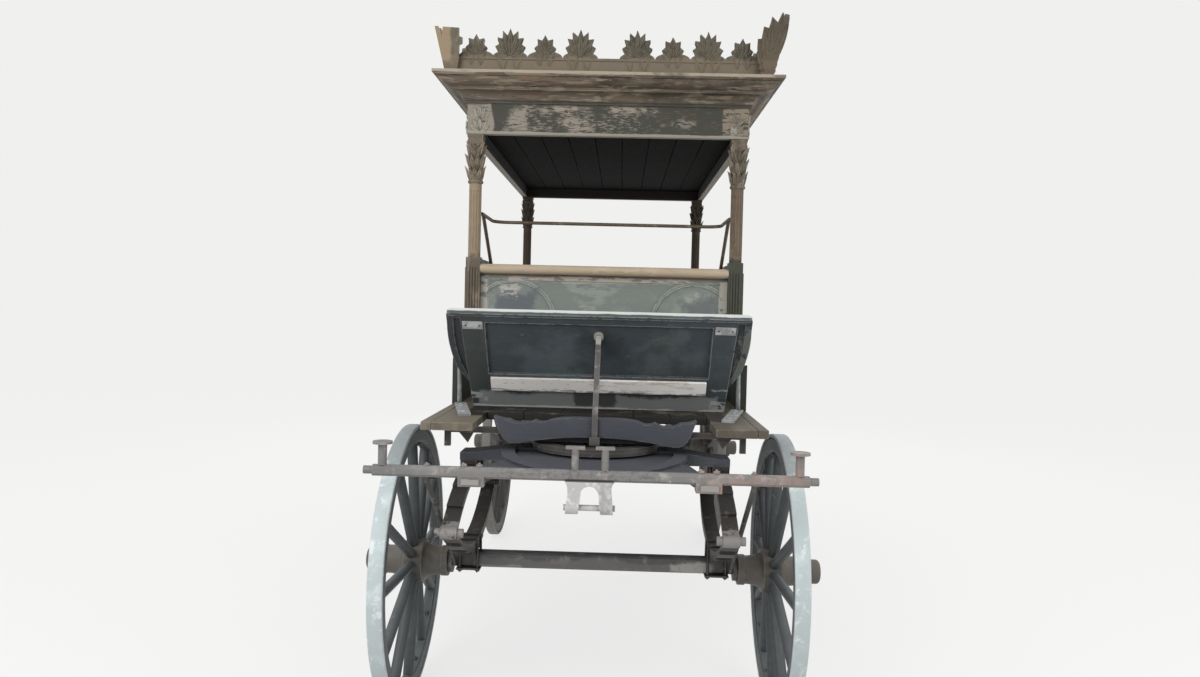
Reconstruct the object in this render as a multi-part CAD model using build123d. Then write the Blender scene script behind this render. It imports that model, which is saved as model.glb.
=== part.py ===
from build123d import *
import math
import os

# Horse-drawn hearse: canopy on four columns over an open coffin body, a driver's seat
# behind a raked toe board, full elliptic springs, and a fore-carriage that steers under
# the body on a king pin. Millimetres. +Z is up, the horses stand towards -Y, and +X is
# the side on the right of someone who faces the hearse from the front.
# While it is modelled, Y = 0 is the front axle. At the end every piece moves by one
# amount, so that the origin is under the middle of the hearse, on the floor.

# Wheels
FRONT_WHEEL_R = 480
REAR_WHEEL_R = 560
HALF_TRACK = 650
TYRE_WIDTH = 48
TYRE_THICKNESS = 12
FELLOE_DEPTH = 52
FELLOE_WIDTH = 42
FRONT_SPOKES = 12
REAR_SPOKES = 14
SPOKE_R = 15
SPOKE_FOOT = 1.25
SPOKE_FLAT = 0.82
SPOKE_FACES = 10
SPOKE_DISH = 22
RIM_CHAMFER = 7
TYRE_CHAMFER = 4
NAVE_FLANGE_R = 76
NAVE_FLANGE = 68
NAVE_END_R = 53
NAVE_WAIST_R = 49
NAVE_BAND = 26
NAVE_CAP_R = 42
CAP_CHAMFER = 9
NAVE_INNER_REACH = 118
NAVE_OUTER_REACH = 130
CAP_LENGTH = 42
ARM_R = 22
ARM_CLEARANCE = 0.1
ARM_END_GAP = 2
COLLAR_THICKNESS = 14
COLLAR_R = 40
COLLAR_GAP = 1
CAP_WALL = 6

# Axles and springs
REAR_AXLE_Y = 2350
AXLE_BAR_HEIGHT = 52
AXLE_BAR_BELOW = 13
AXLE_BAR_DEPTH = 54
AXLE_CHAMFER = 6
SPRING_X = 435
SPRING_WIDTH = 52
SPRING_HALF_LENGTH = 420
LEAF_THICKNESS = 9
LEAF_SHARES = (1.0, 0.76, 0.52, 0.28)
FRONT_SPRING_HEIGHT = 332
EYE_R = 20
EYE_BOLT_R = 14
EYE_BOLT_END = 18
SADDLE_LENGTH = 120
SADDLE_THICKNESS = 10

# Beds and turntable
LOWER_BED_HALF = 470
LOWER_BED_DEPTH = 110
LOWER_BED_HEIGHT = 48
BED_CROWN_HALF = 250
BED_END_HEIGHT = 26
RING_R = 220
RING_BAND = 46
RING_THICKNESS = 12.5
RING_GAP = 0.4
UPPER_BED_DEPTH = 140
FACING_HALF = 345
FACING_FOOT_HALF = 270
FACING_THICKNESS = 60
FACING_ARCH = 27
FACING_CUSP_X = (155, 205, 293)
FACING_CUSP_Z = 2
FACING_HUMP = 12
FACING_DIP = 14
KING_PIN_R = 16
KING_PIN_CLEARANCE = 0.05
KING_PIN_HEAD_R = 30
KING_PIN_HEAD = 12
KING_PIN_HEAD_GAP = 1

# Splinter bar and draught gear
BAR_Y = -550
BAR_HALF = 640
BAR_SIZE = 32
BAR_TIP_R = 12
BAR_TIP = 27
FUTCHELL_FRONT_X = 350
FUTCHELL_BACK_X = 255
FUTCHELL_WIDTH = 52
FUTCHELL_HEIGHT = 32
FUTCHELL_TIP_HEIGHT = 18
APRON_THICKNESS = 8
POLE_FUTCHELL_BACK_X = 296
POLE_FUTCHELL_FRONT_X = 76
POLE_FUTCHELL_WIDTH = 46
POLE_FUTCHELL_HEIGHT = 10
CLAMP_X = 348
CLAMP_HALF = 38
CLAMP_PLATE = 6
FUTCHELL_END = 6
TRACE_BOLT_X = 612
TRACE_BOLT_HEIGHT = 70
TRACE_BOLT_R = 13
TRACE_FLANGE_R = 29
TRACE_FLANGE = 8
T_BOLT_X = 44
T_BOLT_R = 11
T_HEAD_HALF = 28
CLEVIS_GAP = 66
CLEVIS_ARCH_HALF = 27
CLEVIS_SHOULDER = 8
EAR_THICKNESS = 37
EAR_DEPTH = 50
EAR_DROP = 98
CLEVIS_PIN_R = 9
CLEVIS_PIN_UP = 19
CLEVIS_PIN_END = 6
CLEVIS_ROOT = 12
STAY_R = 8
STAY_AXLE_X = 482
STAY_BAR_X = 480

# Body frame
SILL_X = 300
SILL_WIDTH = 60
SILL_HEIGHT = 50
SILL_FRONT_Y = -70
PLATFORM_THICKNESS = 28
PLATFORM_HALF = 575
PLATFORM_FRONT_Y = -220
PLATFORM_NOTCH_HALF = 400
PLATFORM_NOTCH_Y = 100
BEARER_HEIGHT = 40
BEARER_DEPTH = 70
BEARERS = 5
DECK_THICKNESS = 22
COLUMN_X = 570
FRONT_COLUMN_Y = 780
REAR_COLUMN_Y = 2980
POST_SIZE = 62
SIDE_THICKNESS = 24
SIDE_TOP_FRONT = 1600
SIDE_TOP_REAR = 1370
SEAT_DEPTH = 380
SIDE_SWEEP = 330
BOLSTER_HEIGHT = 45
BOLSTER_DEPTH = 90
BOLSTER_END_HEIGHT = 26
BRACKET_X = 505
BRACKET_WIDTH = 20
BRACKET_THICKNESS = 20
GUSSET_X = (405, 436, 484)
GUSSET_DROP = 56
PLATE_GAP = 8
PANEL_MARGIN = 55
PANEL_DEPTH = 6

FOOTWELL_FRONT_Y = 345
FOOTWELL_FRONT_HEIGHT = 180
FOOTWELL_BACK_HEIGHT = 330
FOOTWELL_SWEEP = 0.14

# Seat
SEAT_RAIL_DROP = 49
SEAT_RAIL_R = 21.5
SEAT_RAIL_LAP = 2
SEAT_THICKNESS = 22
SEAT_PANEL_THICKNESS = 22
ROUNDEL_X = 395
ROUNDEL_R = 190
ROUNDEL_DROP = 41
ROUNDEL_RELIEF = 5
ROUNDEL_RIM = 14
PANEL_STILE = 28
PANEL_RAIL = 24
BACK_RAIL_RISE = 241
BACK_RAIL_R = 8
BACK_RAIL_LAP = 6
BACK_STRUT_TOP = 30
BACK_STRUT_FOOT = 40
BACK_RAIL_CORNER_R = 70

# Toe board
TOE_FOOT_Y = 300
TOE_HEAD_Y = 50
TOE_HEAD_Z = 1362
TOE_FOOT_HALF = 484
TOE_HEAD_HALF = 502
TOE_THICKNESS = 26
TOE_RAIL_HALF = 548
TOE_RAIL_HEIGHT = 12
TOE_RAIL_DEPTH = 34
TOE_PANEL_HALF = 412
TOE_PANEL_LOW = 160
TOE_PANEL_HIGH = 396
TOE_PANEL_THICKNESS = 12
TOE_PANEL_BACK = 4
CLEAT_LOW = 88
CLEAT_HEIGHT = 58
CLEAT_THICKNESS = 10
CLEAT_INSET = 6
WING_STEPS = ((0.28, 2), (0.33, 15), (0.42, 36), (0.56, 49), (0.73, 54), (0.88, 50))
WING_BACK = 20
WING_FACE = 2
WING_RIM = 24
WING_RECESS = 9
FOOT_STRAP_BACK = (540, 333)
FOOT_STRAP_FRONT = (460, -35)
FOOT_STRAP_WIDTH = 45
FOOT_STRAP_THICKNESS = 8
SIDE_IRON_R = 8
SIDE_IRON_Y = 316
SIDE_IRON_HEAD = 0.66
STAY_PALM_R = 18
STAY_WIDTH = 19
STAY_THICKNESS = 11
STAY_HEAD_Z = 1284
STAY_FOOT_HALF = 17
STAY_FOOT_HEIGHT = 26
STAY_FOOT_THICKNESS = 18
STAY_FOOT_GAP = 4

# Canopy
FRIEZE_OVER = 35
FRIEZE_BOTTOM = 2130
FRIEZE_TOP = 2262
FRIEZE_WALL = 30
BEAD_HEIGHT = 12
BEAD_OUT = 5
CEILING_Z = 2190
CEILING_THICKNESS = 15
CORNICE_TOP = 2374
ROOF_THICKNESS = 25
CREST_OUTSET = 66
CREST_THICKNESS = 20
CREST_BAND = 98
CREST_VALLEY = 70
CREST_SHOULDER = 74
CREST_LARGE_R = 92
CREST_SMALL_R = 66
CREST_LARGE_X = (-418, -120, 120, 418)
CREST_SMALL_X = (-562, -270, 270, 562)
CREST_PITCH = 149
ACROTERION_REACH = 260
LEAF_TIP = (54, 238)
LEAF_EDGE = (
    (46, 208), (24, 252), (6, 212), (-18, 234), (-26, 190), (-50, 196),
    (-46, 150), (-72, 148), (-58, 108), (-74, 98), (-58, 60), (-52, 0),
)
STUB_TIP = (38, 177)
STUB_EDGE = (
    (24, 177), (8, 138), (4, 175), (-63, 172), (-62, 140),
    (-76, 135), (-75, 110), (-62, 104), (-60, 50), (-52, 0),
)

# Columns
SHAFT_R = 27
FLUTES = 12
FLUTE_R = 5
FLUTE_STOP = 30
CAPITAL_BOTTOM = 1920
ABACUS_HALF = 35
ASTRAGAL_R = 32
ASTRAGAL_HEIGHT = 14
BELL_HEIGHT = 150
REAR_POST_TOP = 1400

# Tailboard
TAILBOARD_THICKNESS = 24
TAILBOARD_GAP = 6
TAILBOARD_FOOT_GAP = 6
HINGE_LEAF = 4
HINGE_STRAP = 50
TAILBOARD_TOP = 1370
HINGE_R = 9
HINGE_PIN_R = 4
HINGE_PIN_CLEARANCE = 0.05
KNUCKLE = 36
KNUCKLE_GAP = 0.5
HINGE_X = 330


def block(x, y, z):
    """A box from its limits on each axis."""
    size = (x[1] - x[0], y[1] - y[0], z[1] - z[0])
    centre = (sum(x) / 2, sum(y) / 2, sum(z) / 2)
    return Pos(*centre) * Box(*size)


def both_sides(shape):
    """A piece of the +X side with its mirror image."""
    return Compound([*shape.solids(), *mirror(shape, about=Plane.YZ).solids()])


def rod_x(x, y, z, radius):
    """A round bar along X between two places."""
    return Pos((x[0] + x[1]) / 2, y, z) * Rot(0, 90, 0) * Cylinder(radius, x[1] - x[0])


def rod_z(x, y, z, radius):
    """A round bar along Z between two heights."""
    return Pos(x, y, (z[0] + z[1]) / 2) * Cylinder(radius, z[1] - z[0])


def rod_between(start, end, radius):
    """A round bar from one point to another."""
    run = Vector(*end) - Vector(*start)
    circle = Plane(origin=start, z_dir=run) * Circle(radius)
    return extrude(circle, amount=run.length, dir=run.normalized())


def outline(points, plane=Plane.XY):
    """A flat face inside a closed run of straight lines."""
    return plane * make_face(Polyline(*points, close=True))


def bulged(start, end, bulge):
    """A straight line, or an arc that leaves it by a share of its length."""
    if not bulge:
        return Line(start, end)
    run = Vector(*end) - Vector(*start)
    middle = (Vector(*start) + Vector(*end)) / 2 + Vector(run.Y, -run.X) * bulge
    return ThreePointArc(start, middle, end)


# Heights that follow from the sizes above
front_axle_z = FRONT_WHEEL_R
rear_axle_z = REAR_WHEEL_R
front_seat_z = front_axle_z + AXLE_BAR_HEIGHT - AXLE_BAR_BELOW
rear_seat_z = rear_axle_z + AXLE_BAR_HEIGHT - AXLE_BAR_BELOW
lower_bed_z = front_seat_z + FRONT_SPRING_HEIGHT
ring_z = lower_bed_z + LOWER_BED_HEIGHT
upper_ring_z = ring_z + RING_THICKNESS + RING_GAP
sill_z = upper_ring_z + RING_THICKNESS
platform_z = sill_z + SILL_HEIGHT
floor_z = platform_z + PLATFORM_THICKNESS
deck_z = platform_z + BEARER_HEIGHT
post_inner_x = COLUMN_X - POST_SIZE / 2
side_inner_x = COLUMN_X - SIDE_THICKNESS / 2
body_front_y = FRONT_COLUMN_Y + POST_SIZE / 2
body_rear_y = REAR_COLUMN_Y - POST_SIZE / 2
seat_top_z = SIDE_TOP_FRONT - SEAT_RAIL_DROP
seat_panel_y = body_front_y - SEAT_PANEL_THICKNESS
bar_bottom_z = lower_bed_z + FUTCHELL_HEIGHT
bar_top_z = bar_bottom_z + BAR_SIZE


def ring_x(section):
    """A hoop turned about the X axis from its section: places along the axle and radii."""
    return revolve(make_face(Polyline(*section, close=True)), axis=Axis.X)


def hoop_section(inner, outer, width, bevel):
    """Section of a hoop whose outer or inner pair of edges is bevelled."""
    half = width / 2
    if bevel > 0:
        bevelled = [(half, outer - bevel), (half - bevel, outer), (bevel - half, outer), (-half, outer - bevel)]
        return [(-half, inner), (half, inner), *bevelled]
    bevelled = [(half, inner - bevel), (half + bevel, inner), (-half - bevel, inner), (-half, inner - bevel)]
    return [*bevelled, (-half, outer), (half, outer)]


def wheel_tyre(radius):
    """Iron tyre with its outer edges worn round, standing in the YZ plane about the origin."""
    return ring_x(hoop_section(radius - TYRE_THICKNESS, radius, TYRE_WIDTH, TYRE_CHAMFER))


def spoke_section(place, height, size):
    """Section of a shaved spoke: flat across the wheel's face and narrower along the rim."""
    shape = scale(RegularPolygon(size, SPOKE_FACES), by=(1, SPOKE_FLAT, 1))
    return Plane(origin=(place, 0, height), x_dir=(1, 0, 0), z_dir=(0, 0, 1)) * shape


def wheel_wood(radius, spokes):
    """Felloe with its spokes, which stand out towards +X at the nave, the wheel's dish."""
    rim = radius - TYRE_THICKNESS
    wood = ring_x(hoop_section(rim - FELLOE_DEPTH, rim, FELLOE_WIDTH, -RIM_CHAMFER))
    foot = spoke_section(-SPOKE_DISH, NAVE_FLANGE_R / 2, SPOKE_R * SPOKE_FOOT)
    tip = spoke_section(0, rim - FELLOE_DEPTH / 2, SPOKE_R)
    spoke = loft([foot, tip], ruled=True) - rod_x((-NAVE_FLANGE, NAVE_FLANGE), 0, 0, NAVE_FLANGE_R)
    for index in range(spokes):
        wood += Rot(360 / spokes * index, 0, 0) * spoke
    return wood


def nave_profile():
    """Half section of the turned nave with its iron bands: place along the axle and radius."""
    inner = -NAVE_INNER_REACH - SPOKE_DISH
    outer = NAVE_OUTER_REACH - SPOKE_DISH
    flange = NAVE_FLANGE / 2
    return [
        (inner, NAVE_END_R),
        (inner + NAVE_BAND, NAVE_END_R),
        (inner + NAVE_BAND, NAVE_WAIST_R),
        (-SPOKE_DISH - flange, NAVE_FLANGE_R - CAP_CHAMFER),
        (-SPOKE_DISH - flange, NAVE_FLANGE_R),
        (-SPOKE_DISH + flange, NAVE_FLANGE_R),
        (-SPOKE_DISH + flange, NAVE_FLANGE_R - CAP_CHAMFER),
        (outer - NAVE_BAND, NAVE_WAIST_R),
        (outer - NAVE_BAND, NAVE_END_R),
        (outer, NAVE_END_R),
        (outer, NAVE_CAP_R),
        (outer + CAP_LENGTH - CAP_CHAMFER, NAVE_CAP_R),
        (outer + CAP_LENGTH, NAVE_CAP_R - CAP_CHAMFER),
    ]


def wheel_nave():
    """Nave with its blind bore for the axle arm, open towards the hearse."""
    profile = nave_profile()
    bore = ARM_R + ARM_CLEARANCE
    end = profile[-1][0] - CAP_WALL
    return ring_x([(profile[0][0], bore), *profile, (profile[-1][0], 0), (end, 0), (end, bore)])


def wheel_pieces(name, side, y, radius, spokes):
    """The three nodes of one wheel, on the +X side or mirrored to -X."""
    pieces = {
        "tyre": wheel_tyre(radius),
        "spokes_and_felloe": wheel_wood(radius, spokes),
        "nave": wheel_nave(),
    }
    for piece, shape in pieces.items():
        if side < 0:
            shape = mirror(shape, about=Plane.YZ)
        nodes[f"{name}_{piece}"] = Pos(side * HALF_TRACK, y, radius) * shape


def axle(y, z):
    """Axle bed with an iron arm and collar at each end."""
    low = z - AXLE_BAR_BELOW
    collar_end = HALF_TRACK - NAVE_INNER_REACH - SPOKE_DISH - COLLAR_GAP
    collar = (collar_end - COLLAR_THICKNESS, collar_end)
    arm_end = HALF_TRACK + NAVE_OUTER_REACH - SPOKE_DISH + CAP_LENGTH - CAP_WALL - ARM_END_GAP
    bar = block(
        (-collar[0], collar[0]),
        (y - AXLE_BAR_DEPTH / 2, y + AXLE_BAR_DEPTH / 2),
        (low, low + AXLE_BAR_HEIGHT),
    )
    bar = chamfer(bar.edges().filter_by(Axis.X), AXLE_CHAMFER)
    end = rod_x(collar, y, z, COLLAR_R) + rod_x((collar[0], arm_end), y, z, ARM_R)
    return bar + end + mirror(end, about=Plane.YZ)


def half_spring(height, eye_z):
    """Lower half of an elliptic spring: leaves that shorten downwards, in the YZ plane."""
    sagitta = height / 2 - LEAF_THICKNESS * len(LEAF_SHARES) - SADDLE_THICKNESS
    radius = (SPRING_HALF_LENGTH**2 + sagitta**2) / (2 * sagitta)
    reach = math.asin(SPRING_HALF_LENGTH / radius)
    leaves = None
    for index, share in enumerate(LEAF_SHARES):
        inner = radius + index * LEAF_THICKNESS
        outer = inner + LEAF_THICKNESS
        angle = reach * share
        edges = []
        for size, turn in ((inner, 1), (outer, -1)):
            ends = [(size * math.sin(side * angle), -size * math.cos(angle)) for side in (-turn, turn)]
            edges.append(ThreePointArc(ends[0], (0, -size), ends[1]))
        edges.append(Line(edges[0] @ 1, edges[1] @ 0))
        edges.append(Line(edges[1] @ 1, edges[0] @ 0))
        leaf = extrude(Plane.YZ * make_face(edges), amount=SPRING_WIDTH / 2, both=True)
        leaves = leaf if leaves is None else leaves + leaf
    return Pos(0, 0, eye_z + radius - sagitta) * leaves


def elliptic_spring(y, seat_z, height):
    """Full elliptic spring with rolled eyes, eye bolts and a saddle above and below."""
    middle = seat_z + height / 2
    lower = half_spring(height, 0)
    spring = lower + mirror(lower, about=Plane.XY)
    for side in (-1, 1):
        place = side * SPRING_HALF_LENGTH
        spring += rod_x((-SPRING_WIDTH / 2, SPRING_WIDTH / 2), place, 0, EYE_R)
        bolt = SPRING_WIDTH / 2 + EYE_BOLT_END
        spring += rod_x((-bolt, bolt), place, 0, EYE_BOLT_R)
        saddle = block(
            (-SPRING_WIDTH / 2, SPRING_WIDTH / 2),
            (-SADDLE_LENGTH / 2, SADDLE_LENGTH / 2),
            (height / 2 - SADDLE_THICKNESS - LEAF_THICKNESS, height / 2),
        )
        spring += saddle if side > 0 else mirror(saddle, about=Plane.XY)
    return Pos(SPRING_X, y, middle) * spring


def turntable_ring(z):
    """Flat iron ring of the turntable with one strap across it."""
    ring = Cylinder(RING_R, RING_THICKNESS) - Cylinder(RING_R - RING_BAND, RING_THICKNESS)
    strap = Box(2 * RING_R - RING_BAND, RING_BAND, RING_THICKNESS) + Cylinder(RING_BAND, RING_THICKNESS)
    hole = Cylinder(KING_PIN_R + KING_PIN_CLEARANCE, RING_THICKNESS)
    return Pos(0, 0, z + RING_THICKNESS / 2) * (ring + strap - hole)


nodes = {}

# Fore-carriage
wheel_pieces("front_left_wheel", -1, 0, FRONT_WHEEL_R, FRONT_SPOKES)
wheel_pieces("front_right_wheel", 1, 0, FRONT_WHEEL_R, FRONT_SPOKES)
nodes["front_axle"] = axle(0, front_axle_z)
nodes["front_springs"] = both_sides(elliptic_spring(0, front_seat_z, FRONT_SPRING_HEIGHT))
king_hole = rod_z(0, 0, (lower_bed_z, ring_z), KING_PIN_R + KING_PIN_CLEARANCE)


def shaped_bed(half, crown_half, bottom, end_top, top, y, depth):
    """A timber across the hearse, flat under, whose top swells in a double curve to its crown."""
    edges = [Line((-half, bottom), (half, bottom))]
    for side in (1, -1):
        end = (side * half, end_top)
        crown = (side * crown_half, top)
        edges += [Line((side * half, bottom), end), Spline(end, crown, tangents=((-side, 0), (-side, 0)))]
    edges.append(Line((-crown_half, top), (crown_half, top)))
    return extrude(Plane.XZ.offset(-y) * make_face(Wire(edges)), amount=depth / 2, both=True)


nodes["lower_bed"] = (
    shaped_bed(
        LOWER_BED_HALF, BED_CROWN_HALF, lower_bed_z, lower_bed_z + BED_END_HEIGHT, ring_z, 0, LOWER_BED_DEPTH
    )
    - king_hole
)
nodes["lower_turntable_ring"] = turntable_ring(ring_z)
futchell_back = -LOWER_BED_DEPTH / 2
futchell_front = BAR_Y - BAR_SIZE / 2 - FUTCHELL_END
half = FUTCHELL_WIDTH / 2
futchell = extrude(
    outline(
        [
            (FUTCHELL_BACK_X - half, futchell_back),
            (FUTCHELL_BACK_X + half, futchell_back),
            (FUTCHELL_FRONT_X + half, futchell_front),
            (FUTCHELL_FRONT_X - half, futchell_front),
        ],
        Plane.XY.offset(lower_bed_z),
    ),
    amount=FUTCHELL_HEIGHT,
)
tip_z = bar_bottom_z - FUTCHELL_TIP_HEIGHT
shaved_off = outline(
    [(futchell_back, lower_bed_z), (futchell_front, tip_z), (futchell_front, lower_bed_z)],
    Plane.YZ,
)
futchell -= extrude(shaved_off, amount=2 * FUTCHELL_FRONT_X)
apron_front = BAR_Y + BAR_SIZE / 2
share = (apron_front - futchell_back) / (futchell_front - futchell_back)
apron_front_x = FUTCHELL_BACK_X + (FUTCHELL_FRONT_X - FUTCHELL_BACK_X) * share
apron = extrude(
    outline(
        [
            (-FUTCHELL_BACK_X, futchell_back),
            (FUTCHELL_BACK_X, futchell_back),
            (apron_front_x, apron_front),
            (-apron_front_x, apron_front),
        ],
        Plane.XY.offset(bar_bottom_z),
    ),
    amount=APRON_THICKNESS,
)
pole_futchell_sides = []
for offset_x in (POLE_FUTCHELL_WIDTH / 2, -POLE_FUTCHELL_WIDTH / 2):
    back = (POLE_FUTCHELL_BACK_X + offset_x, futchell_back)
    front = (POLE_FUTCHELL_FRONT_X + offset_x, apron_front)
    pole_futchell_sides.append(Spline(back, front, tangents=((0, -1), (-1, -1))))
back_edge, front_edge = (
    Line(pole_futchell_sides[0] @ end, pole_futchell_sides[1] @ end) for end in (0, 1)
)
pole_futchell = extrude(
    Pos(0, 0, bar_bottom_z) * make_face(Wire([*pole_futchell_sides, back_edge, front_edge])),
    amount=APRON_THICKNESS + POLE_FUTCHELL_HEIGHT,
)
timbers = futchell + pole_futchell
nodes["futchells"] = apron + timbers + mirror(timbers, about=Plane.YZ)
bar = block(
    (-BAR_HALF, BAR_HALF),
    (BAR_Y - BAR_SIZE / 2, BAR_Y + BAR_SIZE / 2),
    (bar_bottom_z, bar_top_z),
)
bar = chamfer(bar.edges().filter_by(Axis.X), BAR_SIZE / 4)
bar_z = (bar_bottom_z + bar_top_z) / 2
bar += rod_x((-BAR_HALF - BAR_TIP, BAR_HALF + BAR_TIP), BAR_Y, bar_z, BAR_TIP_R)
clamp = block(
    (CLAMP_X - CLAMP_HALF, CLAMP_X + CLAMP_HALF),
    (BAR_Y - BAR_SIZE / 2, BAR_Y + BAR_SIZE / 2),
    (tip_z - CLAMP_PLATE, bar_bottom_z + BAR_SIZE / 3),
)
nodes["splinter_bar"] = bar + clamp + mirror(clamp, about=Plane.YZ) - nodes["futchells"]
flange_z = bar_top_z + TRACE_BOLT_HEIGHT
trace_bolt = rod_z(TRACE_BOLT_X, BAR_Y, (bar_top_z, flange_z), TRACE_BOLT_R)
trace_bolt += rod_z(TRACE_BOLT_X, BAR_Y, (flange_z - TRACE_FLANGE, flange_z), TRACE_FLANGE_R)
t_bolt = rod_z(T_BOLT_X, BAR_Y, (bar_top_z, flange_z), T_BOLT_R)
t_bolt += block(
    (T_BOLT_X - T_HEAD_HALF, T_BOLT_X + T_HEAD_HALF),
    (BAR_Y - T_BOLT_R, BAR_Y + T_BOLT_R),
    (flange_z - TRACE_FLANGE, flange_z),
)
nodes["trace_bolts"] = Compound([*both_sides(trace_bolt).solids(), *both_sides(t_bolt).solids()])
ear_x = (CLEVIS_GAP / 2, CLEVIS_GAP / 2 + EAR_THICKNESS)
ear_bottom_z = bar_bottom_z - EAR_DROP
arch_z = bar_bottom_z - CLEVIS_ROOT
arch_foot_z = arch_z - CLEVIS_ARCH_HALF
root_x = CLEVIS_ARCH_HALF + EAR_THICKNESS + CLEVIS_SHOULDER
fork_face = make_face(
    Wire(
        [
            Line((-root_x, bar_bottom_z), (root_x, bar_bottom_z)),
            Spline((root_x, bar_bottom_z), (ear_x[1], ear_bottom_z), tangents=((-1, -1), (0, -1))),
            Line((ear_x[1], ear_bottom_z), (ear_x[0], ear_bottom_z)),
            Line((ear_x[0], ear_bottom_z), (CLEVIS_ARCH_HALF, arch_foot_z)),
            ThreePointArc((CLEVIS_ARCH_HALF, arch_foot_z), (0, arch_z), (-CLEVIS_ARCH_HALF, arch_foot_z)),
            Line((-CLEVIS_ARCH_HALF, arch_foot_z), (-ear_x[0], ear_bottom_z)),
            Line((-ear_x[0], ear_bottom_z), (-ear_x[1], ear_bottom_z)),
            Spline((-ear_x[1], ear_bottom_z), (-root_x, bar_bottom_z), tangents=((0, 1), (-1, 1))),
        ]
    )
)
clevis = extrude(Plane.XZ.offset(-BAR_Y) * fork_face, amount=EAR_DEPTH / 2, both=True)
ear_side = outline(
    [
        (BAR_Y - EAR_DEPTH / 2, ear_bottom_z + EAR_DEPTH / 2),
        (BAR_Y + EAR_DEPTH / 2, ear_bottom_z + EAR_DEPTH / 2),
        (BAR_Y + EAR_DEPTH / 2, bar_bottom_z),
        (BAR_Y - EAR_DEPTH / 2, bar_bottom_z),
    ]
) + Pos(BAR_Y, ear_bottom_z + EAR_DEPTH / 2) * Circle(EAR_DEPTH / 2)
clevis &= extrude(Plane.YZ * ear_side, amount=root_x, both=True)
pin_z = ear_bottom_z + CLEVIS_PIN_UP
clevis -= rod_x((-ear_x[1], ear_x[1]), BAR_Y, pin_z, CLEVIS_PIN_R)
clevis -= nodes["futchells"]
nodes["pole_clevis"] = clevis
nodes["pole_pin"] = rod_x((-ear_x[1] - CLEVIS_PIN_END, ear_x[1] + CLEVIS_PIN_END), BAR_Y, pin_z, CLEVIS_PIN_R)
stay = rod_between(
    (STAY_AXLE_X, -AXLE_BAR_DEPTH / 2 - STAY_R, front_axle_z),
    (STAY_BAR_X, BAR_Y, bar_bottom_z - STAY_R),
    STAY_R,
)
stay += rod_z(STAY_BAR_X, BAR_Y, (bar_bottom_z - 2 * STAY_R, bar_bottom_z), STAY_R)
nodes["fore_stays"] = both_sides(stay - nodes["front_axle"] - nodes["splinter_bar"])

# Upper carriage
head_top_z = lower_bed_z - KING_PIN_HEAD_GAP
nodes["king_pin"] = rod_z(0, 0, (head_top_z, sill_z), KING_PIN_R) + rod_z(
    0, 0, (head_top_z - KING_PIN_HEAD, head_top_z), KING_PIN_HEAD_R
)
nodes["upper_turntable_ring"] = turntable_ring(upper_ring_z) - nodes["king_pin"]
facing_top_z = floor_z + FACING_HUMP
cusp_z = floor_z + FACING_CUSP_Z


def facing_edge(side):
    """One side of the facing's front outline, from its foot round to the middle of its top."""
    cusps = [(side * x, cusp_z) for x in FACING_CUSP_X]
    dip = (side * (FACING_CUSP_X[1] + FACING_CUSP_X[2]) / 2, cusp_z - FACING_DIP)
    end = (side * FACING_HALF, facing_top_z)
    notch = (side * (FACING_CUSP_X[0] + FACING_CUSP_X[1]) / 2, cusp_z - FACING_DIP / 2)
    return [
        Spline((side * FACING_FOOT_HALF, sill_z), end, tangents=((side, 0), (side / 2, 1))),
        ThreePointArc(end, ((end[0] + cusps[2][0]) / 2, cusp_z + FACING_CUSP_Z), cusps[2]),
        ThreePointArc(cusps[2], dip, cusps[1]),
        ThreePointArc(cusps[1], notch, cusps[0]),
        Spline(cusps[0], (0, facing_top_z), tangents=((-side, 0.3), (-side, 0))),
    ]


facing_foot = ThreePointArc((-FACING_FOOT_HALF, sill_z), (0, sill_z + FACING_ARCH), (FACING_FOOT_HALF, sill_z))
facing = Plane.XZ.offset(-SILL_FRONT_Y) * make_face(Wire([facing_foot, *facing_edge(1), *facing_edge(-1)]))
upper_bed = extrude(facing, amount=FACING_THICKNESS)
upper_bed += block(
    (-SILL_X + SILL_WIDTH / 2, SILL_X - SILL_WIDTH / 2),
    (SILL_FRONT_Y, SILL_FRONT_Y + UPPER_BED_DEPTH),
    (sill_z, platform_z),
)
nodes["upper_bed"] = upper_bed
sill = block(
    (SILL_X - SILL_WIDTH / 2, SILL_X + SILL_WIDTH / 2),
    (SILL_FRONT_Y, REAR_COLUMN_Y),
    (sill_z, platform_z),
)
nodes["body_sills"] = both_sides(sill)
platform = block(
    (-PLATFORM_HALF, PLATFORM_HALF),
    (PLATFORM_FRONT_Y, seat_panel_y),
    (platform_z, floor_z),
)
platform -= block(
    (-PLATFORM_NOTCH_HALF, PLATFORM_NOTCH_HALF),
    (PLATFORM_FRONT_Y - 1, PLATFORM_NOTCH_Y),
    (platform_z - 1, floor_z + 1),
)
post_hole = block(
    (post_inner_x, PLATFORM_HALF + 1),
    (FRONT_COLUMN_Y - POST_SIZE / 2, seat_panel_y + 1),
    (platform_z - 1, floor_z + 1),
)
nodes["platform_board"] = platform - post_hole - mirror(post_hole, about=Plane.YZ)
facing_y = SILL_FRONT_Y - FACING_THICKNESS
bracket_y = (facing_y + BRACKET_THICKNESS, facing_y + 2 * BRACKET_THICKNESS)
bracket_end = BRACKET_X + BRACKET_WIDTH / 2
bracket = block((FACING_HALF - BRACKET_WIDTH, bracket_end), bracket_y, (platform_z - BRACKET_WIDTH, platform_z))
bracket += block((bracket_end - BRACKET_WIDTH, bracket_end), bracket_y, (ring_z + PLATE_GAP, platform_z))
gusset = outline(
    [(GUSSET_X[0], platform_z), (GUSSET_X[2], platform_z), (GUSSET_X[1], platform_z - GUSSET_DROP)],
    Plane.XZ.offset(-bracket_y[1]),
)
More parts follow.
